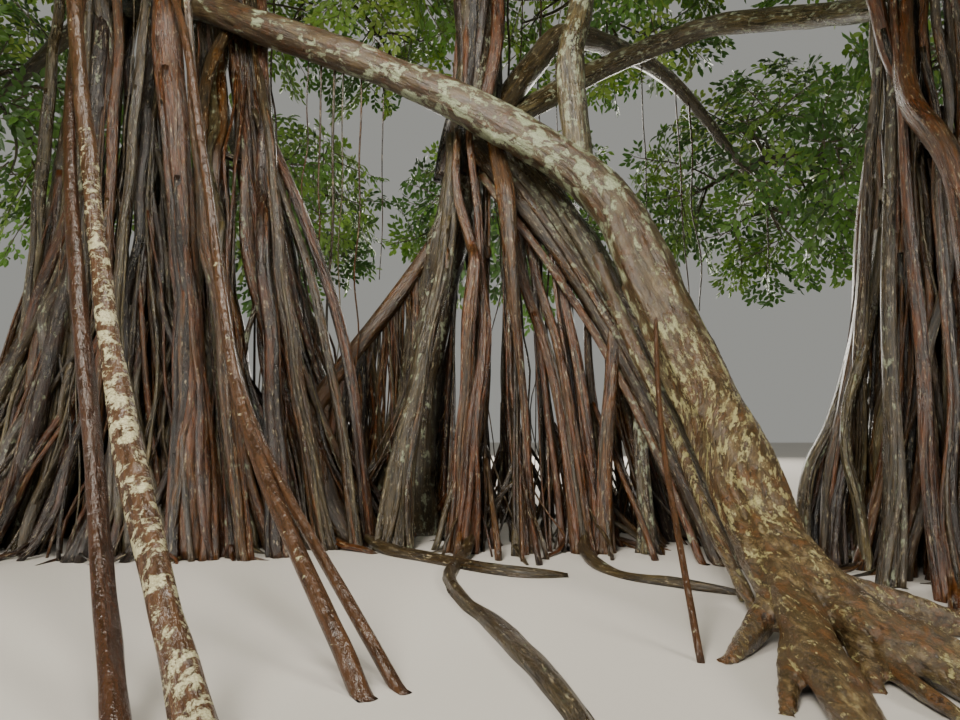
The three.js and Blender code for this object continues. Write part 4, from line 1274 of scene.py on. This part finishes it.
def root_material():
    """Fibrous bark in each root's own rust, brown or grey, with pale blotches that are partly stains and
    partly painted highlights, and spots of lichen
    """
    paint = Paint("root_bark")
    grain = paint.attribute("grain", "Vector")
    stretched = paint.scaled(grain, 1, 1, 0.1)
    long = paint.scaled(grain, 1, 1, 0.3)
    streaks = paint.noise(stretched, 42, 5, 0.6, 0.4)
    broad = paint.noise(long, 7, 3, 0.5, 0.3)
    fine = paint.noise(long, 120, 4, 0.65)
    shift = paint.maths("MULTIPLY_ADD", broad, 0.55, -0.275)
    tone = paint.maths("ADD", paint.attribute("tone"), shift, clamp=True)
    colour = paint.ramp(tone, ROOT_COLOURS)
    # Darker streaks along the grain, lighter on the ridges: partly the bark's streaky tone, partly painted
    # shade in the furrows that the same noise cuts into the relief
    dark = paint.ramp(streaks, [
        (0.34, (0.14, 0.13, 0.12)), (0.47, (0.75, 0.75, 0.75)), (0.72, (1.3, 1.25, 1.2))])
    colour = paint.multiplied(1.0, colour, dark)
    fibres = paint.noise(stretched, 95, 4, 0.7, 0.2)
    crisp = paint.ramp(fibres, [
        (0.38, (0.32, 0.3, 0.27)), (0.52, (0.92, 0.92, 0.9)), (0.66, (1.5, 1.48, 1.42))])
    colour = paint.multiplied(0.9, colour, crisp)
    # Pale blotches along the grain: partly stains on the bark, partly painted highlights of wet bark
    stain_and_highlight_noise = paint.noise(paint.scaled(grain, 1, 1, 0.22), 60, 8, 0.75, 0.3)
    stain_and_highlight = paint.above(stain_and_highlight_noise, 0.57, 9)
    colour = paint.blend(paint.maths("MULTIPLY", stain_and_highlight, 0.8), colour, (0.56, 0.47, 0.3, 1))
    spots = paint.noise(paint.scaled(grain, 1, 1, 0.55), 17, 7, 0.68, 0.2)
    covered = paint.above(spots, paint.less_where(0.7, "lichen", 0.18), 16)
    pale = paint.blend(fine, (*LICHEN, 1), (0.24, 0.26, 0.17, 1))
    colour = paint.blend(paint.maths("MULTIPLY", covered, 0.8), colour, pale)
    rough = paint.maths("MULTIPLY_ADD", broad, 0.34, 0.12)
    rough = paint.maths("ADD", rough, paint.maths("MULTIPLY", covered, 0.25))
    relief = paint.relief((streaks, 0.025, 0.85), (fibres, 0.008, 0.7), (fine, 0.005, 0.6))
    paint.surface({"Base Color": colour, "Roughness": rough, "Normal": relief, "Coat Normal": relief,
                   "Coat Weight": 0.12, "Coat Roughness": 0.14})
    return paint.material


def limb_material():
    """Wet brown bark with crisp pale lichen, streaked lower down and glossy chestnut at the foot"""
    paint = Paint("limb_bark")
    grain = paint.attribute("grain", "Vector")
    wet = paint.attribute("wet")
    lichen = paint.attribute("lichen")
    round_spots = paint.scaled(grain, 1, 1, 0.7)
    patches = paint.noise(round_spots, 7, 6, 0.68, 0.5)
    streaks = paint.noise(paint.scaled(grain, 1, 1, 0.13), 30, 5, 0.62, 0.5)
    fine = paint.noise(grain, 110, 4, 0.7)
    brown = paint.ramp(patches, [
        (0.3, (0.02, 0.01, 0.005)), (0.4, (0.085, 0.036, 0.01)), (0.47, (0.042, 0.025, 0.011)),
        (0.55, (0.08, 0.05, 0.019)), (0.66, (0.105, 0.082, 0.042)), (0.78, (0.075, 0.037, 0.013))])
    wet_brown = paint.ramp(paint.noise(paint.scaled(grain, 1, 1, 0.45), 13, 8, 0.74, 0.3), [
        (0.32, (0.014, 0.006, 0.003)), (0.41, (0.125, 0.058, 0.02)), (0.5, (0.055, 0.036, 0.016)),
        (0.58, (0.14, 0.094, 0.042)), (0.68, (0.24, 0.2, 0.105))])
    colour = paint.blend(wet, brown, wet_brown)
    dark = paint.ramp(streaks, [
        (0.34, (0.35, 0.33, 0.3)), (0.5, (0.95, 0.95, 0.93)), (0.72, (1.35, 1.3, 1.22))])
    colour = paint.multiplied(0.85, colour, dark)
    round_noise = paint.noise(round_spots, 8.5, 9, 0.7, 0.35)
    long_noise = paint.noise(paint.scaled(grain, 1, 1, 0.33), 26, 9, 0.76, 0.2)
    either = paint.blend(paint.step_up(wet, 0.1, 0.6), round_noise, long_noise)
    level = paint.maths("SUBTRACT", 0.69, paint.maths("MULTIPLY", lichen, 0.19))
    mask = paint.above(either, level, 28)
    pale = paint.blend(paint.step_up(fine, 0.35, 0.65), (0.4, 0.45, 0.29, 1), (0.17, 0.19, 0.11, 1))
    yellow = paint.blend(paint.step_up(fine, 0.35, 0.65), (0.5, 0.45, 0.2, 1), (0.22, 0.19, 0.07, 1))
    cover = paint.blend(paint.step_up(wet, 0.2, 0.7), pale, yellow)
    colour = paint.blend(paint.maths("MULTIPLY", mask, 0.92), colour, cover)
    base = paint.maths("SUBTRACT", 0.4, paint.maths("MULTIPLY", wet, 0.24))
    uneven = paint.maths("MULTIPLY", paint.maths("SUBTRACT", patches, 0.5), 0.5)
    base = paint.maths("ADD", base, uneven)
    rough = paint.maths("ADD", base, paint.maths("MULTIPLY", mask, 0.2))
    grit = paint.noise(paint.scaled(grain, 1, 1, 0.6), 40, 6, 0.7)
    relief = paint.relief((streaks, 0.025, 0.8), (grit, 0.012, 0.6), (mask, 0.004, 0.6), (fine, 0.003, 0.5))
    paint.surface({"Base Color": colour, "Roughness": rough, "Normal": relief, "Coat Normal": relief,
                   "Coat Weight": 0.4, "Coat Roughness": 0.12})
    return paint.material


def prop_material():
    """Smooth wet bark with pale lichen that wraps the root in blotches"""
    paint = Paint("prop_bark")
    grain = paint.attribute("grain", "Vector")
    bands = paint.noise(grain, 16, 9, 0.72, 0.3)
    streaks = paint.noise(paint.scaled(grain, 1, 1, 0.12), 45, 4, 0.6)
    fine = paint.noise(grain, 130, 3, 0.6)
    colour = paint.ramp(paint.attribute("tone"), [
        (0.0, (0.042, 0.017, 0.008)), (0.5, (0.08, 0.041, 0.02)), (1.0, (0.17, 0.11, 0.07))])
    dark = paint.ramp(streaks, [(0.35, (0.5, 0.46, 0.44)), (0.6, (1.15, 1.1, 1.05))])
    colour = paint.multiplied(1.0, colour, dark)
    mask = paint.above(bands, paint.less_where(0.7, "lichen", 0.19), 22)
    pale = paint.blend(paint.step_up(fine, 0.35, 0.65), (0.7, 0.67, 0.42, 1), (0.3, 0.27, 0.14, 1))
    colour = paint.blend(paint.maths("MULTIPLY", mask, 0.85), colour, pale)
    rough = paint.maths("ADD", 0.18, paint.maths("MULTIPLY", mask, 0.22))
    dents = paint.noise(paint.scaled(grain, 1, 1, 0.5), 26, 4, 0.6)
    relief = paint.relief((dents, 0.03, 0.6), (streaks, 0.008, 0.6), (mask, 0.003, 0.6))
    paint.surface({"Base Color": colour, "Roughness": rough, "Normal": relief})
    return paint.material


# The middle cluster

def tent_foot(angle, layer):
    return np.array([
        MIDDLE_FOOT[0] + MIDDLE_REACH[0] * layer * math.cos(angle),
        MIDDLE_FOOT[1] + MIDDLE_REACH[1] * layer * math.sin(angle), 0])


def tent_head(rng, foot, slant, stem):
    """Where a root of the middle cluster leaves the slanting stem or the main stem"""
    if foot[0] > 0.55:
        share = np.clip((foot[0] - 0.55) / 1.9, 0, 1)
        return slant.at(0.03 + 0.6 * share * rng.uniform(0.55, 1.0))[0]
    height = np.clip(2.1 + (foot[0] + 0.7) * 1.35, 1.6, 3.7) * rng.uniform(0.85, 1.1)
    return stem.at((height + 0.2) / 6.75)[0]


def middle_root(bark, head, foot, radius, inward, **look):
    """One root of the middle cluster. Gives its line, or None where it would close an opening"""
    rng = bark.rng
    hides_main_stem = -0.5 < foot[0] < 0.3 and foot[1] < -0.25
    if hides_main_stem:
        foot = foot * [1, -0.2, 1]
    out = unit(np.array([foot[0] - head[0], foot[1] - head[1], 0]) + 1e-6)
    middle = head + (foot - head) * 0.5 - out * inward
    low = foot + np.array([0, 0, 0.12]) - out * 0.05
    end = foot + out * 0.04 - np.array([0, 0, 0.04])
    points = along(Curve([head, middle, low, end]), THICK_STEP if radius > 0.04 else THIN_STEP)
    sway = wavy(rng, points[:, 2], 0.008 + 0.1 * radius)
    points[:, :2] += sway * np.linspace(0.3, 1, len(points))[:, None]
    if fills_opening(points, radius):
        return None
    radii = root_radii(np.maximum(points[:, 2], 0), radius, rng.uniform(0, 7) * radius)
    bark.tube(points, radii, sides_of(radius, MIDDLE_SIDES), **look)
    reach = np.hypot(*((foot[:2] - MIDDLE_FOOT) / MIDDLE_REACH))
    if radius > SPREADS_FROM and reach > 0.8:
        spread_foot(bark, foot, out[:2], radii[-1], look["tone"])
    return points


def fill_middle():
    """Roots that stand as a tent below the slanting stem and the main stem, thick to thin"""
    thick, strands, thin = (Bark(seed) for seed in SEEDS["middle"])
    rng = thick.rng
    stems = (Curve(SLANT_STEM), Curve(MAIN_STEM))
    carriers = []
    for k in range(MIDDLE_MAINS):
        angle = 2 * math.pi * (k + rng.uniform(0, 0.8)) / MIDDLE_MAINS
        foot = tent_foot(angle, rng.uniform(0.8, 0.96))
        carriers.append(middle_root(
            thick, tent_head(rng, foot, *stems), foot, rng.uniform(0.03, 0.075), rng.uniform(0.08, 0.25),
            tone=root_tone(rng), lichen=rng.uniform(0.05, 0.45), rough=(0.15, 0.12)))
    for _ in range(MIDDLE_STRANDS):
        foot = tent_foot(rng.uniform(0, ANY_TURN), rng.uniform(0.45, 1.0))
        carriers.append(middle_root(
            strands, tent_head(rng, foot, *stems), foot, 0.01 + 0.035 * rng.uniform() ** 2,
            rng.uniform(0.02, 0.25), tone=root_tone(rng) * 0.85, lichen=rng.uniform(0, 0.6), rough=FORKED))
    for _ in range(MIDDLE_THIN):
        foot = tent_foot(rng.uniform(0, ANY_TURN), rng.uniform(0.6, 1.04))
        middle_root(thin, tent_head(rng, foot, *stems), foot, rng.uniform(0.006, 0.014), rng.uniform(0, 0.2),
                    tone=root_tone(rng), lichen=rng.uniform(0, 0.3), rough=SMOOTH)
    low_forks(thin, [carrier for carrier in carriers if carrier is not None])
    hang_below_oblique(strands)
    return thick, strands, thin


def low_forks(bark, carriers):
    """Short roots that fork low down and make the foot of the cluster dense"""
    rng = bark.rng
    for _ in range(LOW_FORKS):
        carrier = carriers[rng.integers(len(carriers))]
        start = np.argmin(np.abs(carrier[:, 2] - rng.uniform(0.35, 1.25)))
        foot = carrier[-1] * [1, 1, 0] + [*rng.normal(0, 0.23, 2), 0]
        middle_root(bark, carrier[start], foot, 0.008 + 0.024 * rng.uniform() ** 2, rng.uniform(-0.03, 0.03),
                    tone=root_tone(rng) * 0.9, lichen=rng.uniform(0, 0.5), rough=FORKED)


def hang_below_oblique(strands):
    """The skirt of roots between the oblique root and the ground"""
    rng = strands.rng
    oblique = Curve(OBLIQUE_ROOT)
    for _ in range(OBLIQUE_STRANDS):
        head = oblique.at(rng.uniform(0.04, 0.74))[0]
        foot = np.array([head[0] + rng.normal(-0.08, 0.16), head[1] + rng.normal(-0.12, 0.16), 0])
        middle_root(strands, head, foot, 0.009 + 0.036 * rng.uniform() ** 2, rng.uniform(-0.03, 0.04),
                    tone=root_tone(rng) * 0.9, lichen=rng.uniform(0, 0.6), rough=FORKED)


def main_stem(bark):
    """The main stem as a few thick fused roots, with thin ones that cling to it and others round its head"""
    rng = bark.rng
    stem = Curve(MAIN_STEM)
    points = along(stem, 0.07)
    shares = np.linspace(0, 1, len(points))
    radii = np.array([main_stem_radius(share, stem.length) for share in shares])
    bark.tube(points, radii * 0.72, 28, 0.74, 0.8, (0.1, 0.16))
    for angle, reach, size, tone in STEM_ROOTS:
        turn = angle + 0.4 * np.sin(shares * 3)
        spread = radii * reach * (1 + 1.1 * np.exp(-np.maximum(points[:, 2], 0) / 0.5))
        bark.tube(ringed(points, turn, spread), radii * size, 18, tone, 0.8, FUSED)
    for _ in range(CLINGING_ROOTS):
        low = points[points[:, 2] < rng.uniform(1.2, 3.7)]
        height = np.maximum(low[:, 2], 0)
        turn = rng.uniform(-2.8, 0.2) + 0.25 * np.sin(height * rng.uniform(1, 3) + rng.uniform(0, 6))
        rim = table_at(height, CLINGING_REACH) * rng.uniform(0.9, 1.12)
        bark.tube(ringed(low, turn, rim), 0.009 + 0.028 * rng.uniform() ** 2, 8, root_tone(rng), 0.4, FORKED)
    high = points[points[:, 2] > 3.4]
    for k in range(HEAD_ROOTS):
        angle = 2 * math.pi * k / HEAD_ROOTS + rng.uniform(0, 0.4)
        turn = angle + 0.25 * np.sin(high[:, 2] * 1.7 + k)
        rim = 0.2 + 0.03 * np.sin(high[:, 2] * 2.3 + 2 * k)
        radius = rng.uniform(0.035, 0.065)
        bark.tube(ringed(high, turn, rim), radius, 12, 0.06 + 0.14 * (k % 3), 0.15, (0.14, 0.16))


def other_stems(bark):
    """The slanting stem with the ridges fused to it, the oblique root and the roots over the ground"""
    points = along(Curve(SLANT_STEM), 0.07)
    radii = np.linspace(*SLANT_RADII, len(points))
    bark.tube(points, radii * 0.95, 18, 0.86, 0.95, FUSED)
    below = points + np.array([-0.1, -0.08, -0.22])
    bark.tube(below[4:-6], radii[4:-6] * 0.5, 14, 0.6, 0.45, FUSED)
    for k, (shift, radius, tone) in enumerate(SLANT_RIDGES):
        ridge = points + np.array(shift) + 0.03 * np.sin(np.linspace(k, k + 7, len(points)))[:, None]
        bark.tube(ridge[3 + 2 * k:-4], radius, 12, tone, 0.8, (0.12, 0.14))
    points = along(Curve(OBLIQUE_ROOT), 0.07)
    bark.tube(points, np.linspace(0.075, 0.095, len(points)), 14, 0.52, 0.3, KNOTTY)
    for path in SURFACE_ROOTS:
        points = along(Curve(path), 0.05)
        points[:, :2] += wavy(bark.rng, np.linspace(0, 3, len(points)), 0.02)
        radii = table_at(np.linspace(0, 1, len(points)), SURFACE_RADII)
        bark.tube(points, radii, 14, 0.7, 0.3, (0.14, 0.3))


def add_knots(bark):
    """Short swellings, thickest in their middle"""
    for pixel, distance, size, tone in KNOTS:
        line = spot(*pixel, distance) + np.linspace(-1.3, 1.3, 9)[:, None] * np.array([0.2, 0, -1]) * size
        bark.tube(line, size * 0.72 * KNOT_SHAPE, 14, tone, 0.2, (0.12, 0.3))


# The great limb

def remeshed(bark, voxel, name):
    """The union of closed tubes as one even mesh: its places, edges and faces of four corners"""
    obj = new_object(name, *bark.joined()[:2])
    modifier = obj.modifiers.new("even", "REMESH")
    modifier.mode = "VOXEL"
    modifier.voxel_size = voxel
    modifier.use_smooth_shade = True
    graph = bpy.context.evaluated_depsgraph_get()
    mesh = bpy.data.meshes.new_from_object(obj.evaluated_get(graph))
    bpy.data.objects.remove(obj)
    verts = np.empty((len(mesh.vertices), 3), np.float32)
    mesh.vertices.foreach_get("co", verts.ravel())
    edges = np.empty((len(mesh.edges), 2), np.int32)
    mesh.edges.foreach_get("vertices", edges.ravel())
    quads = np.empty((len(mesh.polygons), 4), np.int32)
    mesh.loops.foreach_get("vertex_index", quads.ravel())
    bpy.data.meshes.remove(mesh)
    return verts.astype(float), edges, quads


def relaxed(verts, edges, rounds):
    """Each place drawn towards its neighbours"""
    counts = np.bincount(edges.ravel(), minlength=len(verts))[:, None]
    for _ in range(rounds):
        total = np.zeros_like(verts)
        np.add.at(total, edges[:, 0], verts[edges[:, 1]])
        np.add.at(total, edges[:, 1], verts[edges[:, 0]])
        verts = verts * (1 - LIMB_SMOOTHING) + LIMB_SMOOTHING * total / np.maximum(counts, 1)
    return verts


def face_normals(verts, quads):
    """Normals at the places, from the faces round each"""
    normal = np.cross(verts[quads[:, 2]] - verts[quads[:, 0]], verts[quads[:, 3]] - verts[quads[:, 1]])
    total = np.zeros_like(verts)
    for k in range(4):
        np.add.at(total, quads[:, k], normal)
    return unit(total)


def line_coordinates(verts, curve):
    """For each place, its distances across a line and along it"""
    points = along(curve, 0.04)
    tangent, across, other = frames(points)
    s = np.linspace(0, curve.length, len(points))
    best = np.concatenate([
        np.linalg.norm(part[:, None] - points[None], axis=2).argmin(1)
        for part in np.array_split(verts, 20)])
    offset = verts - points[best]
    over = s[best] + (offset * tangent[best]).sum(1)
    return np.stack([(offset * across[best]).sum(1), (offset * other[best]).sum(1), over], axis=1)


def limb_tubes(bark, curve):
    """The limb's body, the roots and strands fused along it, its flare and its knots"""
    points = along(curve, 0.05)
    shares = np.linspace(0, 1, len(points))
    radii = limb_radius(shares) * (1 + 0.04 * np.sin(shares * 31) + 0.03 * np.sin(shares * 67 + 1))
    radii = radii * table_at(points[:, 1], LIMB_THINS)
    body = points[:, 1] > LIMB_THINS[0][0]
    bark.tube(points[body], radii[body], 40, rough=(0.035, 0.06))
    tangent, across, other = frames(points)
    for first, last, angle, drift, size in LIMB_ROOTS:
        part = slice(int(first * len(points)), int(last * len(points)))
        share = np.linspace(0, 1, len(points[part]))
        turn = angle + drift * share + 0.25 * np.sin(share * 7 + angle)
        rim = radii[part] * 0.83
        path = points[part] + across[part] * (np.cos(turn) * rim)[:, None]
        path = path + other[part] * (np.sin(turn) * rim)[:, None]
        bark.tube(path, size * np.sin(np.pi * np.clip(share, 0.04, 0.9)) ** 0.35, 12, rough=(0.1, 0.15))
    for pixels, first, last in LIMB_STRANDS:
        path = along(Curve([spot(*place) for place in pixels]), 0.04)
        bark.tube(path, np.linspace(first, last, len(path)), 12, rough=(0.1, 0.14))
    for places, first, last in FLARE_ROOTS:
        path = along(Curve(places), 0.05)
        bark.tube(path, np.linspace(first, last, len(path)), 20, rough=KNOTTY)
    for height, angle, size in LIMB_KNOTS:
        i = int(height * len(points))
        centre = points[i] + (across[i] * math.cos(angle) + other[i] * math.sin(angle)) * radii[i] * 0.9
        knot = Curve([centre - tangent[i] * size, centre, centre + tangent[i] * size])
        places = knot.at(np.linspace(0, 1, len(LIMB_KNOT_SHAPE)))
        bark.tube(places, size * 0.7 * LIMB_KNOT_SHAPE, 12)


def great_limb(material):
    """The limb as one even mesh with its own relief, and how wet and how covered with lichen it is"""
    bark = Bark(SEEDS["great_limb"])
    curve = Curve(GREAT_LIMB)
    limb_tubes(bark, curve)
    verts, edges, quads = remeshed(bark, LIMB_VOXEL, "great_limb_raw")
    verts = relaxed(verts, edges, 2)
    normals = face_normals(verts, quads)
    grain = line_coordinates(verts, curve)
    along_limb = grain[:, 2] / curve.length
    foot = np.clip((along_limb - 0.8) / 0.13, 0, 1)[:, None]
    foot = foot * foot * (3 - 2 * foot)
    level = np.stack([verts[:, 0] - 2.1, verts[:, 2] - 0.3, -verts[:, 1] - 3.0 + 0.9 * curve.length], axis=1)
    grain = grain * (1 - foot) + level * foot
    shift = 0
    for depth, scales, start in LIMB_RELIEF:
        shift = shift + depth * noise3(grain * scales + start)
    verts = verts + normals * shift[:, None]
    verts[:, 2] = np.maximum(verts[:, 2], 0)
    obj = new_object("great_limb", verts, np.vstack([quads[:, :3], quads[:, [0, 2, 3]]]), material)
    add_attribute(obj, "grain", grain)
    add_attribute(obj, "wet", table_at(along_limb, LIMB_WET))
    add_attribute(obj, "lichen", table_at(along_limb, LIMB_LICHEN))
    return obj


# Boughs, prop roots and roots that hang

def add_boughs(bark, masses):
    """The boughs below the crown, the pale branch and the bridge. Gives the boughs' curves by name"""
    curves = {}
    for mass in masses:
        curve = bough_curve(mass)
        ends = (mass["tier"]["base"], BOUGH_TIP)
        curves[mass["name"]] = curve
        remember(curve, lambda s, ends=ends: between(ends, s), 6)
        points = along(curve, 0.12)
        bark.tube(points, np.linspace(*ends, len(points)), 12, 0.74, 0.6, (0.07, 0.12))
    points = along(Curve(LIMB_BRANCH), 0.05)
    bark.tube(points, np.linspace(*BRANCH_RADII, len(points)), 18, 0.92, 1.0, (0.06, 0.12))
    bark.tube(along(Curve(BRIDGE), 0.06), BRIDGE_RADIUS * 0.97, 16, 0.85, 0.8, (0.07, 0.12))
    return curves


def add_props(bark, bough):
    """The three long roots in front, the second strand of one, and the thin root in front of the limb"""
    for name, (share, top, foot, path) in PROPS.items():
        curve = Curve([bough.at(share)[0], *path])
        remember(curve, lambda s, ends=(top, foot): between(ends, s), 6)
        points = along(curve, 0.04)
        tone, most = PROP_LOOKS[name]
        lichen = most * table_at(points[:, 2], PROP_LICHEN)
        bark.tube(points, np.linspace(top, foot, len(points)) * 0.97, 18, tone, lichen, (0.06, 0.16))
        if name == SPLIT_PROP:
            low = points[points[:, 2] < SPLIT_BELOW]
            apart = np.linspace(0, 1, len(low))[:, None] * np.array(SPLIT_WAY)
            bark.tube(low + (apart + np.array(SPLIT_START)), SPLIT_RADIUS, 12, 0.35, 0.3, (0.05, 0.1))
    curve = Curve(HANGING_ROOT)
    remember(curve, lambda s: 0.02, 6)
    points = along(curve, 0.08)
    radii = table_at(np.linspace(0, 1, len(points)), HANGING_RADII)
    bark.tube(points, radii, 10, 0.3, 0.2, (0.05, 0.1))


def plumb_line(head, low, step):
    """Places straight down from a head, a little into the ground where low is 0, and the shares of the way"""
    count = int((head[2] - low) / step) + 4
    points = np.repeat([head], count, axis=0)
    points[:, 2] = np.linspace(head[2], low - (0.03 if low == 0 else 0), count)
    return points, np.linspace(0, 1, count)[:, None]


def fine_hanging_roots(curves):
    """Thin aerial roots that hang from the boughs and the great limb, some down to the ground"""
    bark = Bark(SEEDS["hanging"])
    rng = bark.rng
    names = sorted(curves)
    for _ in range(FINE_ROOTS):
        curve = curves[names[rng.integers(len(names))]]
        head = curve.at(rng.uniform(0.15, 0.9))[0]
        if -3.2 < head[0] < 3.9 and head[1] < 0.6:
            continue
        low = 0 if rng.uniform() < 0.35 else rng.uniform(0.5, head[2] * 0.6)
        points, drop = plumb_line(head, low, 0.18)
        points[:, :2] += wavy(rng, points[:, 2], 0.03) * drop + rng.normal(0, 0.25, 2) * drop
        radius = rng.uniform(0.006, 0.016)
        radii = np.linspace(radius, radius * 0.6, len(points))
        bark.tube(points, radii, 5, root_tone(rng), 0.2, (0.03, 0.08))
    limb = Curve(GREAT_LIMB)
    for column, low, radius in LIMB_HANGERS:
        points, drop = plumb_line(place_on(limb, column) + [0, 0.05, 0], low, 0.12)
        points[:, :2] += wavy(rng, points[:, 2], 0.016) * drop
        radii = np.linspace(radius, radius * 0.7, len(points))
        bark.tube(points, radii, 6, root_tone(rng), 0.2, (0.03, 0.08))
    return bark


# Studio

def place_camera():
    """A camera at the photograph's place and angle"""
    camera = bpy.data.cameras.new("camera")
    camera.sensor_width = SENSOR
    camera.lens = FOCAL_PIXELS * SENSOR / PICTURE[0]
    camera.clip_end = 200
    holder = bpy.data.objects.new("camera", camera)
    holder.location = CAMERA_AT
    holder.rotation_euler = (math.pi / 2 + CAMERA_TILT, 0, 0)
    bpy.context.scene.collection.objects.link(holder)
    bpy.context.scene.camera = holder


def light_studio():
    """Even pale surroundings and five soft lights that the camera doesn't see"""
    world = bpy.data.worlds.new("world")
    world.use_nodes = True
    background = world.node_tree.nodes["Background"]
    background.inputs[0].default_value = WORLD_COLOUR
    background.inputs[1].default_value = WORLD_STRENGTH
    bpy.context.scene.world = world
    for name, place, target, size, power, spread in LIGHTS:
        light = bpy.data.lights.new(name, "AREA")
        light.shape = "DISK"
        light.size = size
        light.energy = power
        light.spread = math.radians(spread)
        light.color = LIGHT_COLOUR
        holder = bpy.data.objects.new(name, light)
        holder.location = place
        x, y, z = np.array(target, float) - np.array(place, float)
        holder.rotation_euler = (math.atan2(math.hypot(x, y), -z), 0, math.atan2(x, -y) + math.pi)
        holder.visible_camera = False
        bpy.context.scene.collection.objects.link(holder)


def add_floor():
    """A plain pale floor, within 2 mm of the ground's height"""
    verts = np.array(FLOOR_CORNERS) * [FLOOR_HALF, FLOOR_HALF, 1]
    material = plain_material("floor", FLOOR_COLOUR, 0.8)
    new_object("floor", verts, [[0, 1, 2, 3]], material, smooth=False)


def settle(obj, slot, *nodes):
    """Hands a piece over: the body it rides on and the solids that it replaces. The slot is not used."""
    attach(obj, "root")
    if nodes:
        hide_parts(*nodes)


def finish_left(bark):
    """The left cluster's head, its clear roots and the end of a broken bough"""
    points = along(Curve(LEFT_HEAD), 0.12)
    bark.tube(points, np.linspace(0.5, 0.24, len(points)), 20, 0.5, 0.3, (0.12, 0.16))
    add_features(bark, LEFT_FEATURES)
    bark.tube(along(Curve([spot(*place) for place in BROKEN_BOUGH]), 0.05), 0.032, 12, 0.1, 0.1, (0.1, 0.14))


def finish_middle(bark):
    """The stems and clear roots of the middle cluster, and knots"""
    main_stem(bark)
    other_stems(bark)
    add_features(bark, MIDDLE_FEATURES, Curve(SLANT_STEM))
    add_knots(bark)


def finish_right(bark):
    """The leaning stems and clear roots of the right cluster"""
    for stem, tone in zip(LEANING_STEMS, (0.36, 0.5)):
        points = along(Curve(stem), 0.08)
        bark.tube(points, np.linspace(0.075, 0.09, len(points)), 12, tone, 0.5, KNOTTY)
    add_features(bark, RIGHT_FEATURES)


def main():
    """Grows the crown and the clusters, hands their pieces over and sets up the studio"""
    bark = root_material()
    limb_bark = limb_material()
    prop_bark = prop_material()
    twig_bark = plain_material("twig_bark", TWIG_COLOUR, 0.6)
    masses = crown_masses()
    boughs = Bark(SEEDS["boughs"])
    props = Bark(SEEDS["props"])
    remember_trunks()
    curves = add_boughs(boughs, masses)
    add_props(props, curves[PROPS_HANG_FROM])
    crown_limbs = Bark(SEEDS["crown_limbs"])
    growth = Growth(SEEDS["crown"], crown_limbs)
    for index, mass in enumerate(masses):
        growth.grow_mass(mass, curves[mass["name"]], CROWN_SEED + index)
    clusters = {
        "left": fill_cluster("left", LEFT_ROWS, LEFT_PLAN),
        "main": fill_middle(),
        "right": fill_cluster("right", RIGHT_ROWS, RIGHT_PLAN),
    }
    finish_left(clusters["left"][0])
    finish_middle(clusters["main"][0])
    finish_right(clusters["right"][0])
    for name, barks in clusters.items():
        for kind, made, nodes in zip(("roots", "strands", "thin_roots"), barks, ([f"{name}_trunk"], [], [])):
            settle(made.build(f"{name}_{kind}", bark), "bark", *nodes)
    nodes = sorted(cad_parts)
    bough_nodes = [node for node in nodes if node.startswith(("bough_", "bridge_"))]
    settle(great_limb(limb_bark), "limb_bark", "great_limb_upper", "great_limb_lower")
    settle(boughs.build("boughs", bark), "bark", *bough_nodes, "limb_branch")
    settle(props.build("prop_roots", prop_bark), "bark", *PROPS, "hanging_root")
    settle(fine_hanging_roots(curves).build("hanging_roots", bark), "bark")
    settle(crown_limbs.build("crown_limbs", bark), "bark")
    first, *others = growth.build_leaves()
    settle(first, "leaf", *[node for node in nodes if node.startswith("leaves_")])
    for piece in others:
        settle(piece, "leaf")
    for piece in growth.build_twigs(twig_bark):
        settle(piece, "bark")
    add_floor()
    place_camera()
    light_studio()


main()
bpy.context.view_layer.update()
